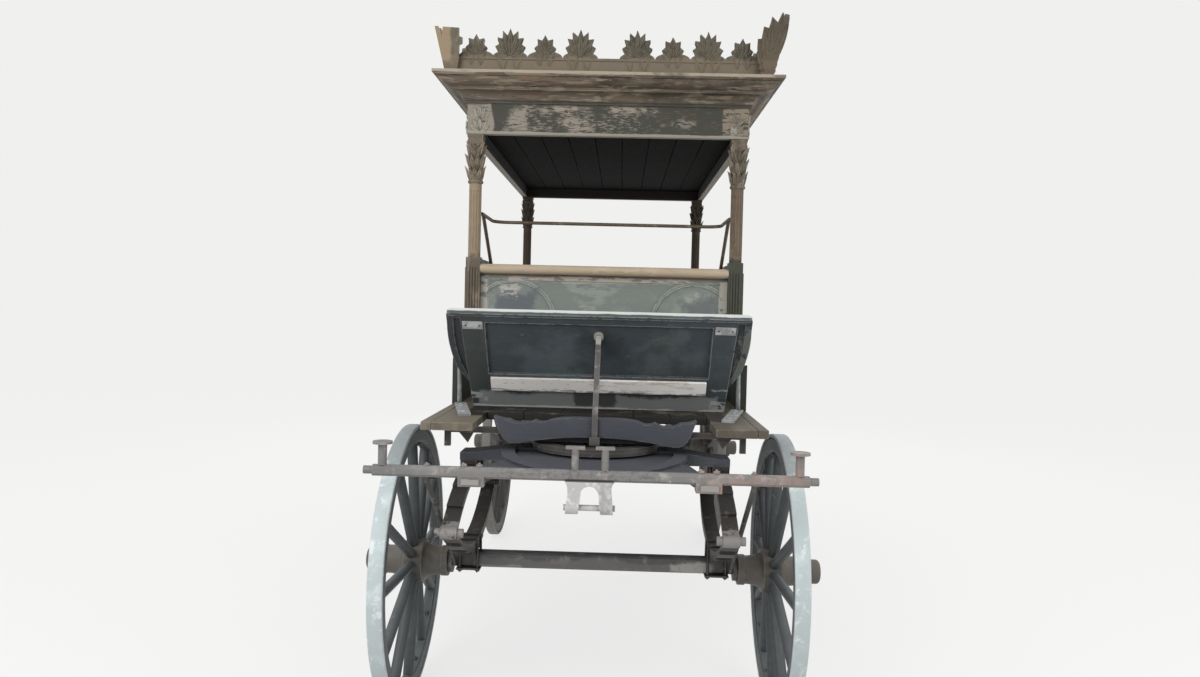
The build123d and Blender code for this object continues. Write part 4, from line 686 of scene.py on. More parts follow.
# %% The tree that sets a form on marked places
VECTOR = {"data_type": "FLOAT_VECTOR"}
set_out, given = new_tree(
    "set_out",
    {"Places": "Geometry", "Form": "Object", "Jitter": "Float", "Seed": "Int", "Finish": "Material"},
)
form = node(set_out, "GeometryNodeObjectInfo", {"Object": given["Form"]}, transform_space="ORIGINAL")
turn = node(set_out, "GeometryNodeInputNamedAttribute", {"Name": "turn"}, **VECTOR)
size = node(set_out, "GeometryNodeInputNamedAttribute", {"Name": "size"}, **VECTOR)
limits = {0: (-1, -1, -1), 1: (1, 1, 1), "Seed": given["Seed"]}
chance = node(set_out, "FunctionNodeRandomValue", limits, **VECTOR)
jittered = {0: chance, "Scale": given["Jitter"]}
wobble = node(set_out, "ShaderNodeVectorMath", jittered, operation="SCALE")
turned_by = node(set_out, "ShaderNodeVectorMath", {0: turn, 1: wobble}, operation="ADD")
angles = node(set_out, "FunctionNodeEulerToRotation", {0: turned_by})
marked = {"Points": given["Places"], "Rotation": angles, "Scale": size}
copying = {**marked, "Instance": form.outputs["Geometry"]}
copies = node(set_out, "GeometryNodeInstanceOnPoints", copying)
close_tree(set_out, copies, given["Finish"])
print("nodes that set out forms", len(set_out.nodes))

# %% The tree that runs a round bar along lines
run_along, given = new_tree(
    "run_along", {"Lines": "Geometry", "Radius": "Float", "Sides": "Int", "Finish": "Material"}
)
lines = node(run_along, "GeometryNodeMeshToCurve", {0: given["Lines"]})
ring = {"Resolution": given["Sides"], "Radius": given["Radius"]}
section = node(run_along, "GeometryNodeCurvePrimitiveCircle", ring)
bar_rule = {"Curve": lines, "Profile Curve": section, "Fill Caps": True}
close_tree(run_along, node(run_along, "GeometryNodeCurveToMesh", bar_rule), given["Finish"])
print("trees", [tree.name for tree in bpy.data.node_groups])

# %% Short calls for the two trees
SEED = 7
UP, DOWN, BACK = (0, 0, 1), (0, 0, -1), (0, 1, 0)


def pointing(out, along):
    """The turn, as XYZ angles, that stands a form's +Z along one direction and its front, -Y, to another."""
    z_axis = Vector(along).normalized()
    y_axis = -Vector(out)
    y_axis = (y_axis - y_axis.dot(z_axis) * z_axis).normalized()
    x_axis = y_axis.cross(z_axis)
    return Matrix((x_axis, y_axis, z_axis)).transposed().to_euler()


def fastening(spot, along, size, out=BACK):
    """A nut, screw or dome head that stands along a direction, as its place, turn and size."""
    return spot, pointing(out, along), (size, size, size)


def place_forms(name, form_object, rows, finish, home, jitter=0.0, stands_for=(), bevel=0.0):
    """A piece of copies of one form. rows give the place, turn and size of each copy."""
    points = mesh_of(name, [row[0] for row in rows])
    for label, column in (("turn", 1), ("size", 2)):
        layer = points.attributes.new(label, "FLOAT_VECTOR", "POINT")
        layer.data.foreach_set("vector", [value for row in rows for value in tuple(row[column])])
    plain = made_by(
        set_out, points, Form=form_object, Jitter=jitter, Seed=SEED, Finish=finishes[finish]
    )
    piece = add_piece(name, plain, home, stands_for=stands_for)
    if bevel:
        worn = piece.modifiers.new("worn_edges", "BEVEL")
        worn.width = bevel
        worn.segments = 2
        worn.limit_method = "ANGLE"


def run_bars(name, paths, radius, finish, home, sides=8, weld=0.0):
    """A piece of round bars along paths, each a list of points."""
    vertices, edges = [], []
    for path in paths:
        start = len(vertices)
        vertices += path
        edges += [(start + index, start + index + 1) for index in range(len(path) - 1)]
    start = mesh_of(name, vertices, edges=edges, weld=weld)
    plain = made_by(run_along, start, Radius=radius, Sides=sides, Finish=finishes[finish])
    add_piece(name, plain, home)


def turned(profile, sides=16, close=True):
    """Vertices and faces of a shape turned about Z from rows of radius and height."""
    around = [2 * math.pi * k / sides for k in range(sides)]
    vertices = [(r * math.cos(angle), r * math.sin(angle), z) for r, z in profile for angle in around]
    faces = []
    for row in range(len(profile) - (0 if close else 1)):
        after = (row + 1) % len(profile)
        for k in range(sides):
            beside = (k + 1) % sides
            faces.append(
                (row * sides + k, row * sides + beside, after * sides + beside, after * sides + k)
            )
    return vertices, faces


print("random turns come from seed", SEED)

# %% [markdown]
# ## The forms
# A nut here is square, as smiths made them, on a round washer, with the end of its bolt standing
# out. A dome is the head of a coach bolt. A leaf is one lobe of carving: pointed, with a raised
# rib, and flat behind where it grows out of the board. A board is a unit cube, sized by its place.

# %% Forms: nut, dome, board, leaf
ON_AXIS = 0.0001 * MM
LEAF_ROWS = 9


def joined(*shapes):
    """Several lists of vertices and faces as one."""
    vertices, faces = [], []
    for shape_vertices, shape_faces in shapes:
        start = len(vertices)
        vertices += shape_vertices
        faces += [tuple(start + index for index in face) for face in shape_faces]
    return vertices, faces


def leaf_form(curl):
    """One lobe, 1 long, 1 wide and 1 deep, that curls forward at its tip."""
    vertices, faces = [], []
    for row in range(LEAF_ROWS):
        t = row / (LEAF_ROWS - 1)
        half = max(0.02, 0.5 * math.sin(math.pi * min(1.0, 0.16 + 0.84 * t) ** 0.85))
        swell = math.sin(math.pi * min(0.97, 0.12 + 0.8 * t))
        across = ((-1, 0), (-0.62, 0.5), (-0.16, 0.55), (0, 1), (0.16, 0.55), (0.62, 0.5), (1, 0))
        vertices += [(x * half, -y * swell - curl * t**3, t) for x, y in across]
    count = len(across)
    for row in range(LEAF_ROWS - 1):
        for k in range(count):
            a, b = row * count + k, row * count + (k + 1) % count
            faces.append((a, b, b + count, a + count))
    faces += [tuple(range(count)), tuple((LEAF_ROWS - 1) * count + k for k in range(count))]
    return vertices, faces


def capped(profile_mm, sides):
    """A turned shape in mm whose first and last rows meet on the axis."""
    profile = [(r * MM, z * MM) for r, z in profile_mm]
    return turned([(ON_AXIS, profile[0][1]), *profile, (ON_AXIS, profile[-1][1])], sides, close=False)


def add_form(name, vertices, faces):
    """A form for the trees. It is taken out of the scene again before the end."""
    return in_scene(name, mesh_of(name, vertices, faces=faces))


washer = capped([(12, 0), (12, 1.6), (11, 2)], 16)
square = capped([(11.6, 2), (12, 3), (12, 8.5), (10.6, 10)], 4)
bolt_end = capped([(5, 9), (5, 14), (3.6, 15.5)], 10)
nut = add_form("form_nut", *joined(washer, square, bolt_end))
dome = add_form("form_dome", *capped([(10, 0), (9.4, 2), (7, 4), (3.5, 5.2)], 14))
cube = add_form(
    "form_board",
    [(x, y, z) for x in (-0.5, 0.5) for y in (-0.5, 0.5) for z in (-0.5, 0.5)],
    [(0, 1, 3, 2), (4, 6, 7, 5), (0, 4, 5, 1), (2, 3, 7, 6), (0, 2, 6, 4), (1, 5, 7, 3)],
)
leaf = add_form("form_leaf", *leaf_form(0.0))
curled_leaf = add_form("form_curled_leaf", *leaf_form(1.6))
FORMS = (nut, dome, cube, leaf, curled_leaf)
print("forms", [form_object.name for form_object in FORMS])

# %% [markdown]
# ## Boards
# The footboard, the coffin deck, the ceiling and the roof are each one solid in the packed
# model. On the real hearse they are boards with shrunken joints. Every board is one marked
# place for the board form: its middle, a turn that is almost nothing, and its three lengths.
# The joints that one can see through stay narrow.

# %% Boards
OPEN_JOINT, CLOSE_JOINT, WING_JOINT = 3 * MM, 1 * MM, 1.5 * MM
BOARD_JITTER = 0.0006
STRAIGHT = (0, 0, 0)


def boards_between(low, high, count, axis, gap):
    """Places for boards that fill a box, side by side along one axis."""
    rows = []
    pitch = (high[axis] - low[axis]) / count
    for index in range(count):
        size = [b - a for a, b in zip(low, high)]
        middle = [(a + b) / 2 for a, b in zip(low, high)]
        size[axis] = pitch - gap
        middle[axis] = low[axis] + pitch * (index + 0.5)
        rows.append((middle, STRAIGHT, size))
    return rows


for name, finish, home, count, axis, gap in (
    ("coffin_deck", "deck", DARK_BOARDS, 9, 0, CLOSE_JOINT),
    ("canopy_ceiling", "ceiling", DARK_BOARDS, 9, 0, OPEN_JOINT),
    ("canopy_roof", "roof", CANOPY, 15, 1, OPEN_JOINT),
):
    rows = boards_between(*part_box(name), count, axis, gap)
    place_forms(f"{name}_boards", cube, rows, finish, home, BOARD_JITTER, [name], bevel=1.5 * MM)

NOTCH_HALF, POST_INNER_X = 0.400, 0.539
NOTCH_Y, POST_FRONT_Y = front_axle.y + 0.100, front_axle.y + 0.749
low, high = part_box("platform_board")
middle_low, middle_high = (-NOTCH_HALF, NOTCH_Y, low.z), (NOTCH_HALF, high.y, high.z)
rows = boards_between(middle_low, middle_high, 6, 0, CLOSE_JOINT)
for side in (-1, 1):
    for inner, outer, back in ((NOTCH_HALF, POST_INNER_X, high.y), (POST_INNER_X, high.x, POST_FRONT_Y)):
        middle = (side * (inner + outer) / 2, (low.y + back) / 2, (low.z + high.z) / 2)
        rows.append((middle, STRAIGHT, (outer - inner - WING_JOINT, back - low.y, high.z - low.z)))
place_forms("footboards", cube, rows, "boards", DARK_BOARDS, BOARD_JITTER, ["platform_board"], bevel=2 * MM)

# %% [markdown]
# ## Carving
# The cresting is a row of palmettes on a band: fans of pointed lobes, large and small by turns.
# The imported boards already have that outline. Each lobe gets a raised leaf on both faces of its
# board, from the fan's foot to its tip, and small scrolls stand between the fans. The corner
# leaves, the frieze's corner blocks and the capitals are made from the same leaf.

# %% Leaves of the cresting
LEAF_DEPTH, CREST_BAND, CREST_BOARD = 9 * MM, 98 * MM, 20 * MM
LARGE_FAN, SMALL_FAN = 92 * MM, 66 * MM
FRONT_FANS = {LARGE_FAN: (-0.418, -0.120, 0.120, 0.418), SMALL_FAN: (-0.562, -0.270, 0.270, 0.562)}
REAR_FANS = {LARGE_FAN: (-0.418, -0.120, 0, 0.120, 0.418), SMALL_FAN: FRONT_FANS[SMALL_FAN]}
CREST_PITCH = 149 * MM
X_AXIS, Y_AXIS, Z_AXIS = (Vector(row) for row in Matrix.Identity(3))
crest_low, crest_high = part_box("cresting_sides")
crest_y = (crest_low.y + crest_high.y) / 2
count = int((crest_high.y - crest_low.y) / 2 / CREST_PITCH)
side_places = [CREST_PITCH * index for index in range(-count + 1, count)]
SIDE_FANS = {LARGE_FAN: side_places[0::2], SMALL_FAN: side_places[1::2]}


def leaf_row(foot, tip, out, width, depth):
    """The place, turn and size of a leaf from its foot to its tip."""
    run = Vector(tip) - Vector(foot)
    return foot, pointing(out, run), (width, depth, run.length)


def fan_rows(base, across, out, radius):
    """Leaves of one palmette whose foot is at base, spread in the plane of across and up."""
    lobes = 7 if radius == LARGE_FAN else 5
    rows = []
    for index in range(lobes):
        angle = math.pi * (0.06 + 0.88 * index / (lobes - 1))
        reach = radius * (0.86 + 0.14 * math.sin(angle))
        spread, rise = reach * 0.78 * math.cos(angle), reach * 0.98 * math.sin(angle)
        foot = base + across * (0.12 * radius * math.cos(angle)) - Z_AXIS * (0.22 * radius)
        tip = base + across * spread + Z_AXIS * rise
        rows.append(leaf_row(foot, tip, out, 0.27 * radius, LEAF_DEPTH))
    for side in (-1, 1):
        foot = base + across * (side * 0.30 * radius) - Z_AXIS * (0.95 * radius)
        for spread, drop, width in ((0.62, 0.18, 0.24), (0.1, 0.2, 0.2)):
            tip = base + across * (side * spread * radius) - Z_AXIS * (drop * radius)
            rows.append(leaf_row(foot, tip, out, width * radius, 0.7 * LEAF_DEPTH))
    return rows


faces_of_boards = []
band_z = cornice_top + CREST_BAND
for box_name, fans in (("cresting_front", FRONT_FANS), ("cresting_rear", REAR_FANS)):
    low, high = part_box(box_name)
    for y, out in ((low.y, -1), (high.y, 1)):
        faces_of_boards.append((Vector((0, y, band_z)), fans, X_AXIS, Y_AXIS * out))
crest_x = crest_high.x
for side in (-1, 1):
    for x, out in ((crest_x, side), (crest_x - CREST_BOARD, -side)):
        faces_of_boards.append((Vector((side * x, crest_y, band_z)), SIDE_FANS, Y_AXIS, X_AXIS * out))
rows = [
    row
    for middle, fans, across, out in faces_of_boards
    for radius, places in fans.items()
    for place in places
    for row in fan_rows(middle + across * place, across, out, radius)
]
place_forms("cresting_leaves", leaf, rows, "cresting", CANOPY, jitter=0.05)

# %% Leaves of the corners
CORNER = Vector((crest_x + 20 * MM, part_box("cresting_front")[0].y - 20 * MM, cornice_top))
LEAN = 54 / 238
BOARD_FACES = {1: -0.5 * MM, -1: 20.5 * MM}
TIPS = ((46, 208), (24, 242), (-18, 231), (-50, 194), (-72, 146), (-74, 97), (-58, 55))
canopy_y = canopy_middle[1]
rows = []
for side, end in ((1, -1), (-1, 1), (1, 1)):
    for swapped in (False, True):
        for out_sign, face_depth in BOARD_FACES.items():
            for x, z in TIPS:
                points = []
                for u, v in ((max(-46, 0.42 * x - 18), 0.46 * z), (x, z)):
                    point = Vector((u * MM, face_depth - LEAN * v * MM, v * MM))
                    if swapped:
                        point = Vector((-point.y, -point.x, point.z))
                    spot = CORNER + point
                    points.append(Vector((side * spot.x, canopy_y - end * (spot.y - canopy_y), spot.z)))
                out = X_AXIS * side if swapped else Y_AXIS * end
                rows.append(leaf_row(*points, out * out_sign, 26 * MM, 8 * MM))
place_forms("corner_leaves", leaf, rows, "cresting", CANOPY, jitter=0.025)

# %% Carved blocks at the corners of the frieze
BLOCK_WIDTH, BLOCK_X, BLOCK_Z = 0.105, 0.605, 2.15
rows = []
for side in (-1, 1):
    for end in (-1, 1):
        x = side * (BLOCK_X - BLOCK_WIDTH / 2)
        y = frieze_low.y + 5 * MM if end < 0 else frieze_high.y - 5 * MM
        y_side = y - end * BLOCK_WIDTH / 2
        for middle, across, out in (
            (Vector((x, y, BLOCK_Z)), X_AXIS, Y_AXIS * end),
            (Vector((side * BLOCK_X, y_side, BLOCK_Z)), Y_AXIS, X_AXIS * side),
        ):
            for level, reach in ((0.0, 0.052), (0.05, 0.055)):
                base = middle + Z_AXIS * level
                for index in range(5):
                    angle = math.pi * (0.1 + 0.2 * index)
                    tip = base + across * (0.9 * reach * math.cos(angle)) + Z_AXIS * (reach * math.sin(angle))
                    rows.append(leaf_row(base - Z_AXIS * (8 * MM), tip, out, 22 * MM, 9 * MM))
place_forms("frieze_corner_leaves", leaf, rows, "carving", CANOPY, jitter=0.12)

# %% [markdown]
# ## Capitals
# Each column carries a tall leaf capital: a small ring, a bell wrapped in three rows of curled
# leaves, and a square block above. The bell is turned, the leaves are set round it, and four
# larger leaves at the corners reach out under the block like small volutes.

# %% Capitals
capital_low, capital_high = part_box("column_capitals")
COLUMN_X = 0.570
BELL = (
    (27, 0), (32, 1), (34, 7), (32, 13), (27, 15), (25.5, 20), (25, 60), (26, 100), (29, 140), (33, 158),
    (34.5, 164),
)
ABACUS = ((46, 164), (48.5, 168), (48.5, 182), (44, 190), (47, 196), (49, 200), (49, 210))
LEAF_RINGS = (  # height of the foot, length, leaves, turn in leaves, width, depth
    (12, 66, 8, 0, 24, 12), (62, 66, 8, 0.5, 25, 14), (108, 60, 8, 0, 22, 13), (112, 64, 4, 0.5, 34, 18),
)
QUARTER = Matrix.Rotation(math.pi / 4, 3, "Z")
bell = capped(BELL, 28)
block_vertices, block_faces = capped(ABACUS, 4)
block = [QUARTER @ Vector(v) for v in block_vertices], block_faces
rows, shapes = [], []
for y in (capital_low.y + 35 * MM, capital_high.y - 35 * MM):
    for side in (-1, 1):
        axis = Vector((side * COLUMN_X, y, capital_low.z))
        shapes += [([axis + Vector(v) for v in vertices], faces) for vertices, faces in (bell, block)]
        for level, length, count, shift, width, depth in LEAF_RINGS:
            for index in range(count):
                angle = 2 * math.pi * (index + shift) / count
                out = Vector((math.cos(angle), math.sin(angle), 0))
                foot = axis + out * (24 * MM) + Z_AXIS * (level * MM)
                rows.append(leaf_row(foot, foot + Z_AXIS * (length * MM), out, width * MM, depth * MM))
vertices, faces = joined(*shapes)
bells = mesh_of("capital_bells", vertices, faces=faces)
add_piece("capital_bells", bells, CANOPY, "capital", ["column_capitals"])
place_forms("capital_leaves", curled_leaf, rows, "capital", CANOPY, jitter=0.07)

# %% [markdown]
# ## Reeds, beads and rods
# Thin round work follows lines: the reeds down the faces of the corner posts, the beads round
# the sunk panels, the half-round along the cresting's foot. A line of points is enough for each,
# and one tree runs a round section along it.

# %% Reeds and beads
post_low, post_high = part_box("corner_posts")
POST_HALF, REED, REED_FOOT_Z, REED_END = 31 * MM, 5 * MM, 1.05, 45 * MM
REAR_POST_TOP = 1.400
paths = []
for side in (-1, 1):
    for y, out, top in ((post_low.y, -1, post_high.z), (post_high.y, 1, REAR_POST_TOP)):
        for offset in (-18 * MM, -6 * MM, 6 * MM, 18 * MM):
            front_reed = (side * COLUMN_X + offset, y)
            side_reed = (side * COLUMN_X + side * POST_HALF, y - out * POST_HALF + offset)
            for spot in (front_reed, side_reed):
                paths.append([(*spot, REED_FOOT_Z), (*spot, top - REED_END)])
run_bars("post_reeds", paths, REED, "column", CANOPY)


def rim_of(name, level):
    """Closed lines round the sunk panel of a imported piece, where its floor lies at a level on X."""
    work = bmesh.new()
    work.from_mesh(parts[name].data)
    bmesh.ops.remove_doubles(work, verts=work.verts, dist=0.05 * MM)
    flat = {f for f in work.faces if all(abs(v.co.x - level) < 0.2 * MM for v in f.verts)}
    rim = [e for e in work.edges if sum(f in flat for f in e.link_faces) == 1]
    paths = [[tuple(v.co) for v in edge.verts] for edge in rim]
    work.free()
    return paths


side_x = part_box("body_side_right")[1].x - 6 * MM
for side, name in ((-1, "left"), (1, "right")):
    rim = rim_of(f"body_side_{name}", side * side_x)
    run_bars(f"panel_bead_{name}", rim, 4.5 * MM, "body", DARK_BOARDS, weld=0.1 * MM)

FOOT_X, FOOT_BEAD_Z, UPPER_BEAD_Z = 0.671, 5 * MM, 62 * MM
near, far = crest_low.y - 20 * MM, crest_high.y + 20 * MM
foot_line = ((-FOOT_X, near), (FOOT_X, near), (FOOT_X, far), (-FOOT_X, far), (-FOOT_X, near))
paths = [[(x, y, cornice_top + z) for x, y in foot_line] for z in (FOOT_BEAD_Z, UPPER_BEAD_Z)]
run_bars("cresting_beads", paths, 5 * MM, "cresting", CANOPY)

# %% [markdown]
# ## Wheels
# A carriage wheel is the clearest rule on the hearse: so many spokes, evenly round a nave, each
# swelling at its foot, slim at its waist and round again where it enters the felloe, and all of
# them leaning outwards, which is the wheel's dish. The tree has the counts and sizes as inputs,
# so that one tree makes the front wheels with 12 spokes and the rear wheels with 14.

# %% The wheel tree: felloe
wheel_tree, given = new_tree(
    "wheel_wood",
    {
        "Start": "Geometry", "Spokes": "Int", "Rim Radius": "Float", "Felloe Depth": "Float",
        "Felloe Width": "Float", "Nave Radius": "Float", "Spoke Radius": "Float", "Dish": "Float",
        "Centre": "Vector", "Finish": "Material",
    },
)
rim, depth = given["Rim Radius"], given["Felloe Depth"]
felloe_inner = node(wheel_tree, "ShaderNodeMath", {0: rim, 1: depth}, operation="SUBTRACT")
halfway = {0: depth, 1: -0.5, 2: rim}
felloe_middle = node(wheel_tree, "ShaderNodeMath", halfway, operation="MULTIPLY_ADD")
round_hoop = {"Resolution": 120, "Radius": felloe_middle}
hoop = node(wheel_tree, "GeometryNodeCurvePrimitiveCircle", round_hoop)
section_size = {"Width": depth, "Height": given["Felloe Width"]}
felloe_section = node(wheel_tree, "GeometryNodeCurvePrimitiveQuadrilateral", section_size)
rounding = {"Curve": felloe_section, "Radius": 7 * MM}
rounded_section = node(wheel_tree, "GeometryNodeFilletCurve", rounding)
for socket in rounded_section.inputs:
    if socket.name == "Count":
        socket.default_value = 3
swept = {"Curve": hoop, "Profile Curve": rounded_section}
felloe = node(wheel_tree, "GeometryNodeCurveToMesh", swept)
stood_up = {"Geometry": felloe, "Rotation": (0, math.pi / 2, 0)}
upright = node(wheel_tree, "GeometryNodeTransform", stood_up)
print("nodes for the felloe", len(wheel_tree.nodes))

# %% The wheel tree: spokes
SPOKE_POINTS, SPOKE_SIDES, SPOKE_OVAL = 15, 12, 0.82
SWELLING = ((0.08, 1.0), (0.22, 0.82), (0.6, 0.62), (0.84, 0.66), (0.93, 0.86), (0.97, 0.7))
spoke_end = node(wheel_tree, "ShaderNodeCombineXYZ", {2: felloe_inner})
in_nave = {0: given["Nave Radius"], 1: 0.75}
spoke_start = node(wheel_tree, "ShaderNodeMath", in_nave, operation="MULTIPLY")
spoke_foot = node(wheel_tree, "ShaderNodeCombineXYZ", {2: spoke_start})
ends = {"Start": spoke_foot, "End": spoke_end}
spoke_line = node(wheel_tree, "GeometryNodeCurvePrimitiveLine", ends)
cut_up = {"Curve": spoke_line, "Count": SPOKE_POINTS}
spoke_points = node(wheel_tree, "GeometryNodeResampleCurve", cut_up)
share_along = node(wheel_tree, "GeometryNodeSplineParameter").outputs["Factor"]
swelling = node(wheel_tree, "ShaderNodeFloatCurve", {"Value": share_along})
shape = swelling.mapping.curves[0]
shape.points[0].location = (0, 1.0)
shape.points[1].location = (1, 0.66)
for spot in SWELLING:
    shape.points.new(*spot)
swelling.mapping.update()
shaving = {"Curve": spoke_points, "Radius": swelling}
shaved = node(wheel_tree, "GeometryNodeSetCurveRadius", shaving)
ring = {"Resolution": SPOKE_SIDES, "Radius": given["Spoke Radius"]}
spoke_section = node(wheel_tree, "GeometryNodeCurvePrimitiveCircle", ring)
flattened = {"Geometry": spoke_section, "Scale": (1.0, SPOKE_OVAL, 1.0)}
oval = node(wheel_tree, "GeometryNodeTransform", flattened)
swept = {"Curve": shaved, "Profile Curve": oval, "Fill Caps": True}
spoke = node(wheel_tree, "GeometryNodeCurveToMesh", swept)
hub_points = node(wheel_tree, "GeometryNodePoints", {"Count": given["Spokes"]})
spoke_index = node(wheel_tree, "GeometryNodeInputIndex")
whole_turn = {0: 2 * math.pi, 1: given["Spokes"]}
step = node(wheel_tree, "ShaderNodeMath", whole_turn, operation="DIVIDE")
angle = node(wheel_tree, "ShaderNodeMath", {0: spoke_index, 1: step}, operation="MULTIPLY")
spoke_turn = node(wheel_tree, "ShaderNodeCombineXYZ", {0: angle})
rotation = node(wheel_tree, "FunctionNodeEulerToRotation", {0: spoke_turn})
set_round = {"Points": hub_points, "Instance": spoke, "Rotation": rotation}
spokes = node(wheel_tree, "GeometryNodeInstanceOnPoints", set_round)
loose_spokes = node(wheel_tree, "GeometryNodeRealizeInstances", {0: spokes})
print("points along a spoke", SPOKE_POINTS)

# %% The wheel tree: dish
position = node(wheel_tree, "GeometryNodeInputPosition")
level = node(wheel_tree, "ShaderNodeVectorMath", {0: position, 1: (0, 1, 1)}, operation="MULTIPLY")
reach = node(wheel_tree, "ShaderNodeVectorMath", {0: level}, operation="LENGTH").outputs["Value"]
lean = {0: reach, 1: 0.0, 2: felloe_inner, 3: given["Dish"], 4: 0.0}
aside = node(wheel_tree, "ShaderNodeCombineXYZ", {0: node(wheel_tree, "ShaderNodeMapRange", lean)})
moved = {"Geometry": loose_spokes, "Offset": aside}
dished = node(wheel_tree, "GeometryNodeSetPosition", moved)
whole = node(wheel_tree, "GeometryNodeJoinGeometry")
for half in (upright, dished):
    wheel_tree.links.new(half.outputs[0], whole.inputs[0])
set_down = {"Geometry": whole, "Translation": given["Centre"]}
placed = node(wheel_tree, "GeometryNodeTransform", set_down)
close_tree(wheel_tree, placed, given["Finish"])
print("nodes in the wheel tree", len(wheel_tree.nodes))

# %% Wheels, tyres and naves
HALF_TRACK = 0.650
TYRE_THICKNESS, FELLOE_DEPTH, FELLOE_WIDTH = 12 * MM, 52 * MM, 42 * MM
NAVE_RADIUS, SPOKE_RADIUS, DISH = 76 * MM, 19 * MM, 22 * MM
NAVE = (  # mm outwards from the middle of the wheel, and radius
    (-140, 22), (-140, 51.5), (-138, 53), (-116, 53), (-114, 51), (-112, 49), (-100, 49.5), (-84, 52),
    (-68, 57), (-59, 63), (-57, 68), (-56, 73), (-53, 76), (9, 76), (12, 73), (13, 68), (15, 63), (24, 57),
    (42, 52), (62, 49.5), (78, 49), (81, 51), (83, 53), (106, 53), (108, 51.5), (108, 42), (138, 42),
    (144, 40), (149, 34), (150, 30), (146, 24), (144, 0.001),
)
TYRE = ((-24, -12), (-24, -3), (-22.5, -1), (-19, 0), (19, 0), (22.5, -1), (24, -3), (24, -12))
for wheel in WHEELS:
    side = -1 if "left" in wheel else 1
    axle_place, spoke_count = (front_axle, 12) if "front" in wheel else (rear_axle, 14)
    low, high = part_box(f"{wheel}_tyre")
    radius = (high.z - low.z) / 2
    centre = Vector((side * HALF_TRACK, axle_place.y, radius))
    sizes = {
        "Spokes": spoke_count, "Rim Radius": radius - TYRE_THICKNESS, "Felloe Depth": FELLOE_DEPTH,
        "Felloe Width": FELLOE_WIDTH, "Nave Radius": NAVE_RADIUS, "Spoke Radius": SPOKE_RADIUS,
        "Dish": -side * DISH, "Centre": centre, "Finish": finishes["wheel"],
    }
    wood = made_by(wheel_tree, mesh_of(wheel, [(0, 0, 0)]), **sizes)
    add_piece(f"{wheel}_wood", wood, (wheel, "wheel_wood"), stands_for=[f"{wheel}_spokes_and_felloe"])
    nave = turned([(r * MM, x * MM) for x, r in NAVE], 48, close=False)
    tyre = turned([(radius + r * MM, x * MM) for x, r in TYRE], 120)
    for look, part, (vertices, faces), slot in (
        ("turned", "nave", nave, "wheel_wood"), ("worn", "tyre", tyre, "worn_tyre_iron")
    ):
        name = f"{wheel}_{look}_{part}"
        placed = [centre + Vector((side * z, x, y)) for x, y, z in vertices]
        add_piece(name, mesh_of(name, placed, faces=faces), (wheel, slot), part, [f"{wheel}_{part}"])
    rows = []
    for index in range(spoke_count):
        angle = 2 * math.pi * (index + 0.5) / spoke_count
        inward = Vector((0, -math.sin(angle), -math.cos(angle)))
        spot = centre - inward * (radius - TYRE_THICKNESS - FELLOE_DEPTH)
        rows.append(fastening(spot, inward, 0.8, X_AXIS))
    place_forms(f"{wheel}_tyre_nuts", nut, rows, "iron", (wheel, "old_iron"), jitter=0.3)

# %% [markdown]
# ## Smith's fastenings
# Square nuts, dome heads and U-bolts hold the ironwork. They are small, but they tell the eye
# how big everything is. Each list names where the smith put them, and in which direction.

# %% Spring clips and axle U-bolts
SPRING_X, CLIP_HALF_X, CLIP_HALF_Y = 0.435, 31 * MM, 37 * MM
CLIP_PLATE = (84 * MM, 104 * MM, 6 * MM)
for end, home, axle_place, seat_z, top_z in (
    ("front", FORE_IRON, front_axle, 0.519, 0.851), ("rear", CARRIAGE_IRON, rear_axle, 0.599, 0.8794)
):
    paths, plates, nuts = [], [], []
    foot = seat_z - 60 * MM
    for side in (-1, 1):
        x = side * SPRING_X
        inner, outer = x - CLIP_HALF_X, x + CLIP_HALF_X
        for y in (axle_place.y - CLIP_HALF_Y, axle_place.y + CLIP_HALF_Y):
            for ends, bend in ((foot, seat_z + 50 * MM), (top_z, top_z - 50 * MM)):
                paths.append([(inner, y, ends), (inner, y, bend), (outer, y, bend), (outer, y, ends)])
            nuts += [fastening((nut_x, y, foot + 3 * MM), DOWN, 0.7) for nut_x in (inner, outer)]
        plates.append(((x, axle_place.y, seat_z - 54 * MM), STRAIGHT, CLIP_PLATE))
    run_bars(f"{end}_u_bolts", paths, 5.5 * MM, "iron", home, sides=10)
    place_forms(f"{end}_clip_plates", cube, plates, "iron", home, bevel=1 * MM)
    place_forms(f"{end}_clip_nuts", nut, nuts, "iron", home, jitter=0.2)

# %% Nuts and dome heads of the fore-carriage
bar_low, bar_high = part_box("splinter_bar")
bar_y = (bar_low.y + bar_high.y) / 2
rows = []
for places, nut_size in (((0.325, 0.371), 0.85), ((0.480,), 0.7)):
    for side in (-1, 1):
        for x in places:
            rows.append(fastening((side * x, bar_y, bar_high.z - 0.5 * MM), UP, nut_size))
place_forms("bar_nuts", nut, rows, "bar", FORE_IRON, jitter=0.25)
rows = []
for side in (-1, 1):
    for share in (0.15, 0.5, 0.85):
        x, y = 0.255 + 0.09 * share, front_axle.y - 0.055 - 0.48 * share
        rows.append(fastening((side * x, y, bar_low.z + 24 * MM), UP, 1))
place_forms("futchell_bolt_heads", dome, rows, "iron", FORE_IRON)

# %% Dome heads and screws of the body
RUN, RISE = 0.25, 0.3596  # of the raked toe board
toe_up, toe_out = Vector((0, -RUN, RISE)).normalized(), Vector((0, -RISE, -RUN)).normalized()
toe_foot = Vector((0, front_axle.y + 0.300, 1.0024))
PLATFORM_HEADS = ((0.528, 0.278), (0.512, 0.2), (0.472, 0.02))
HEAD_Z = 1.0104


def on_toe_board(x, up, out):
    """A place on the raked toe board: across, up the slope and out towards the horses."""
    return toe_foot + Vector((x, 0, 0)) + toe_up * up + toe_out * out


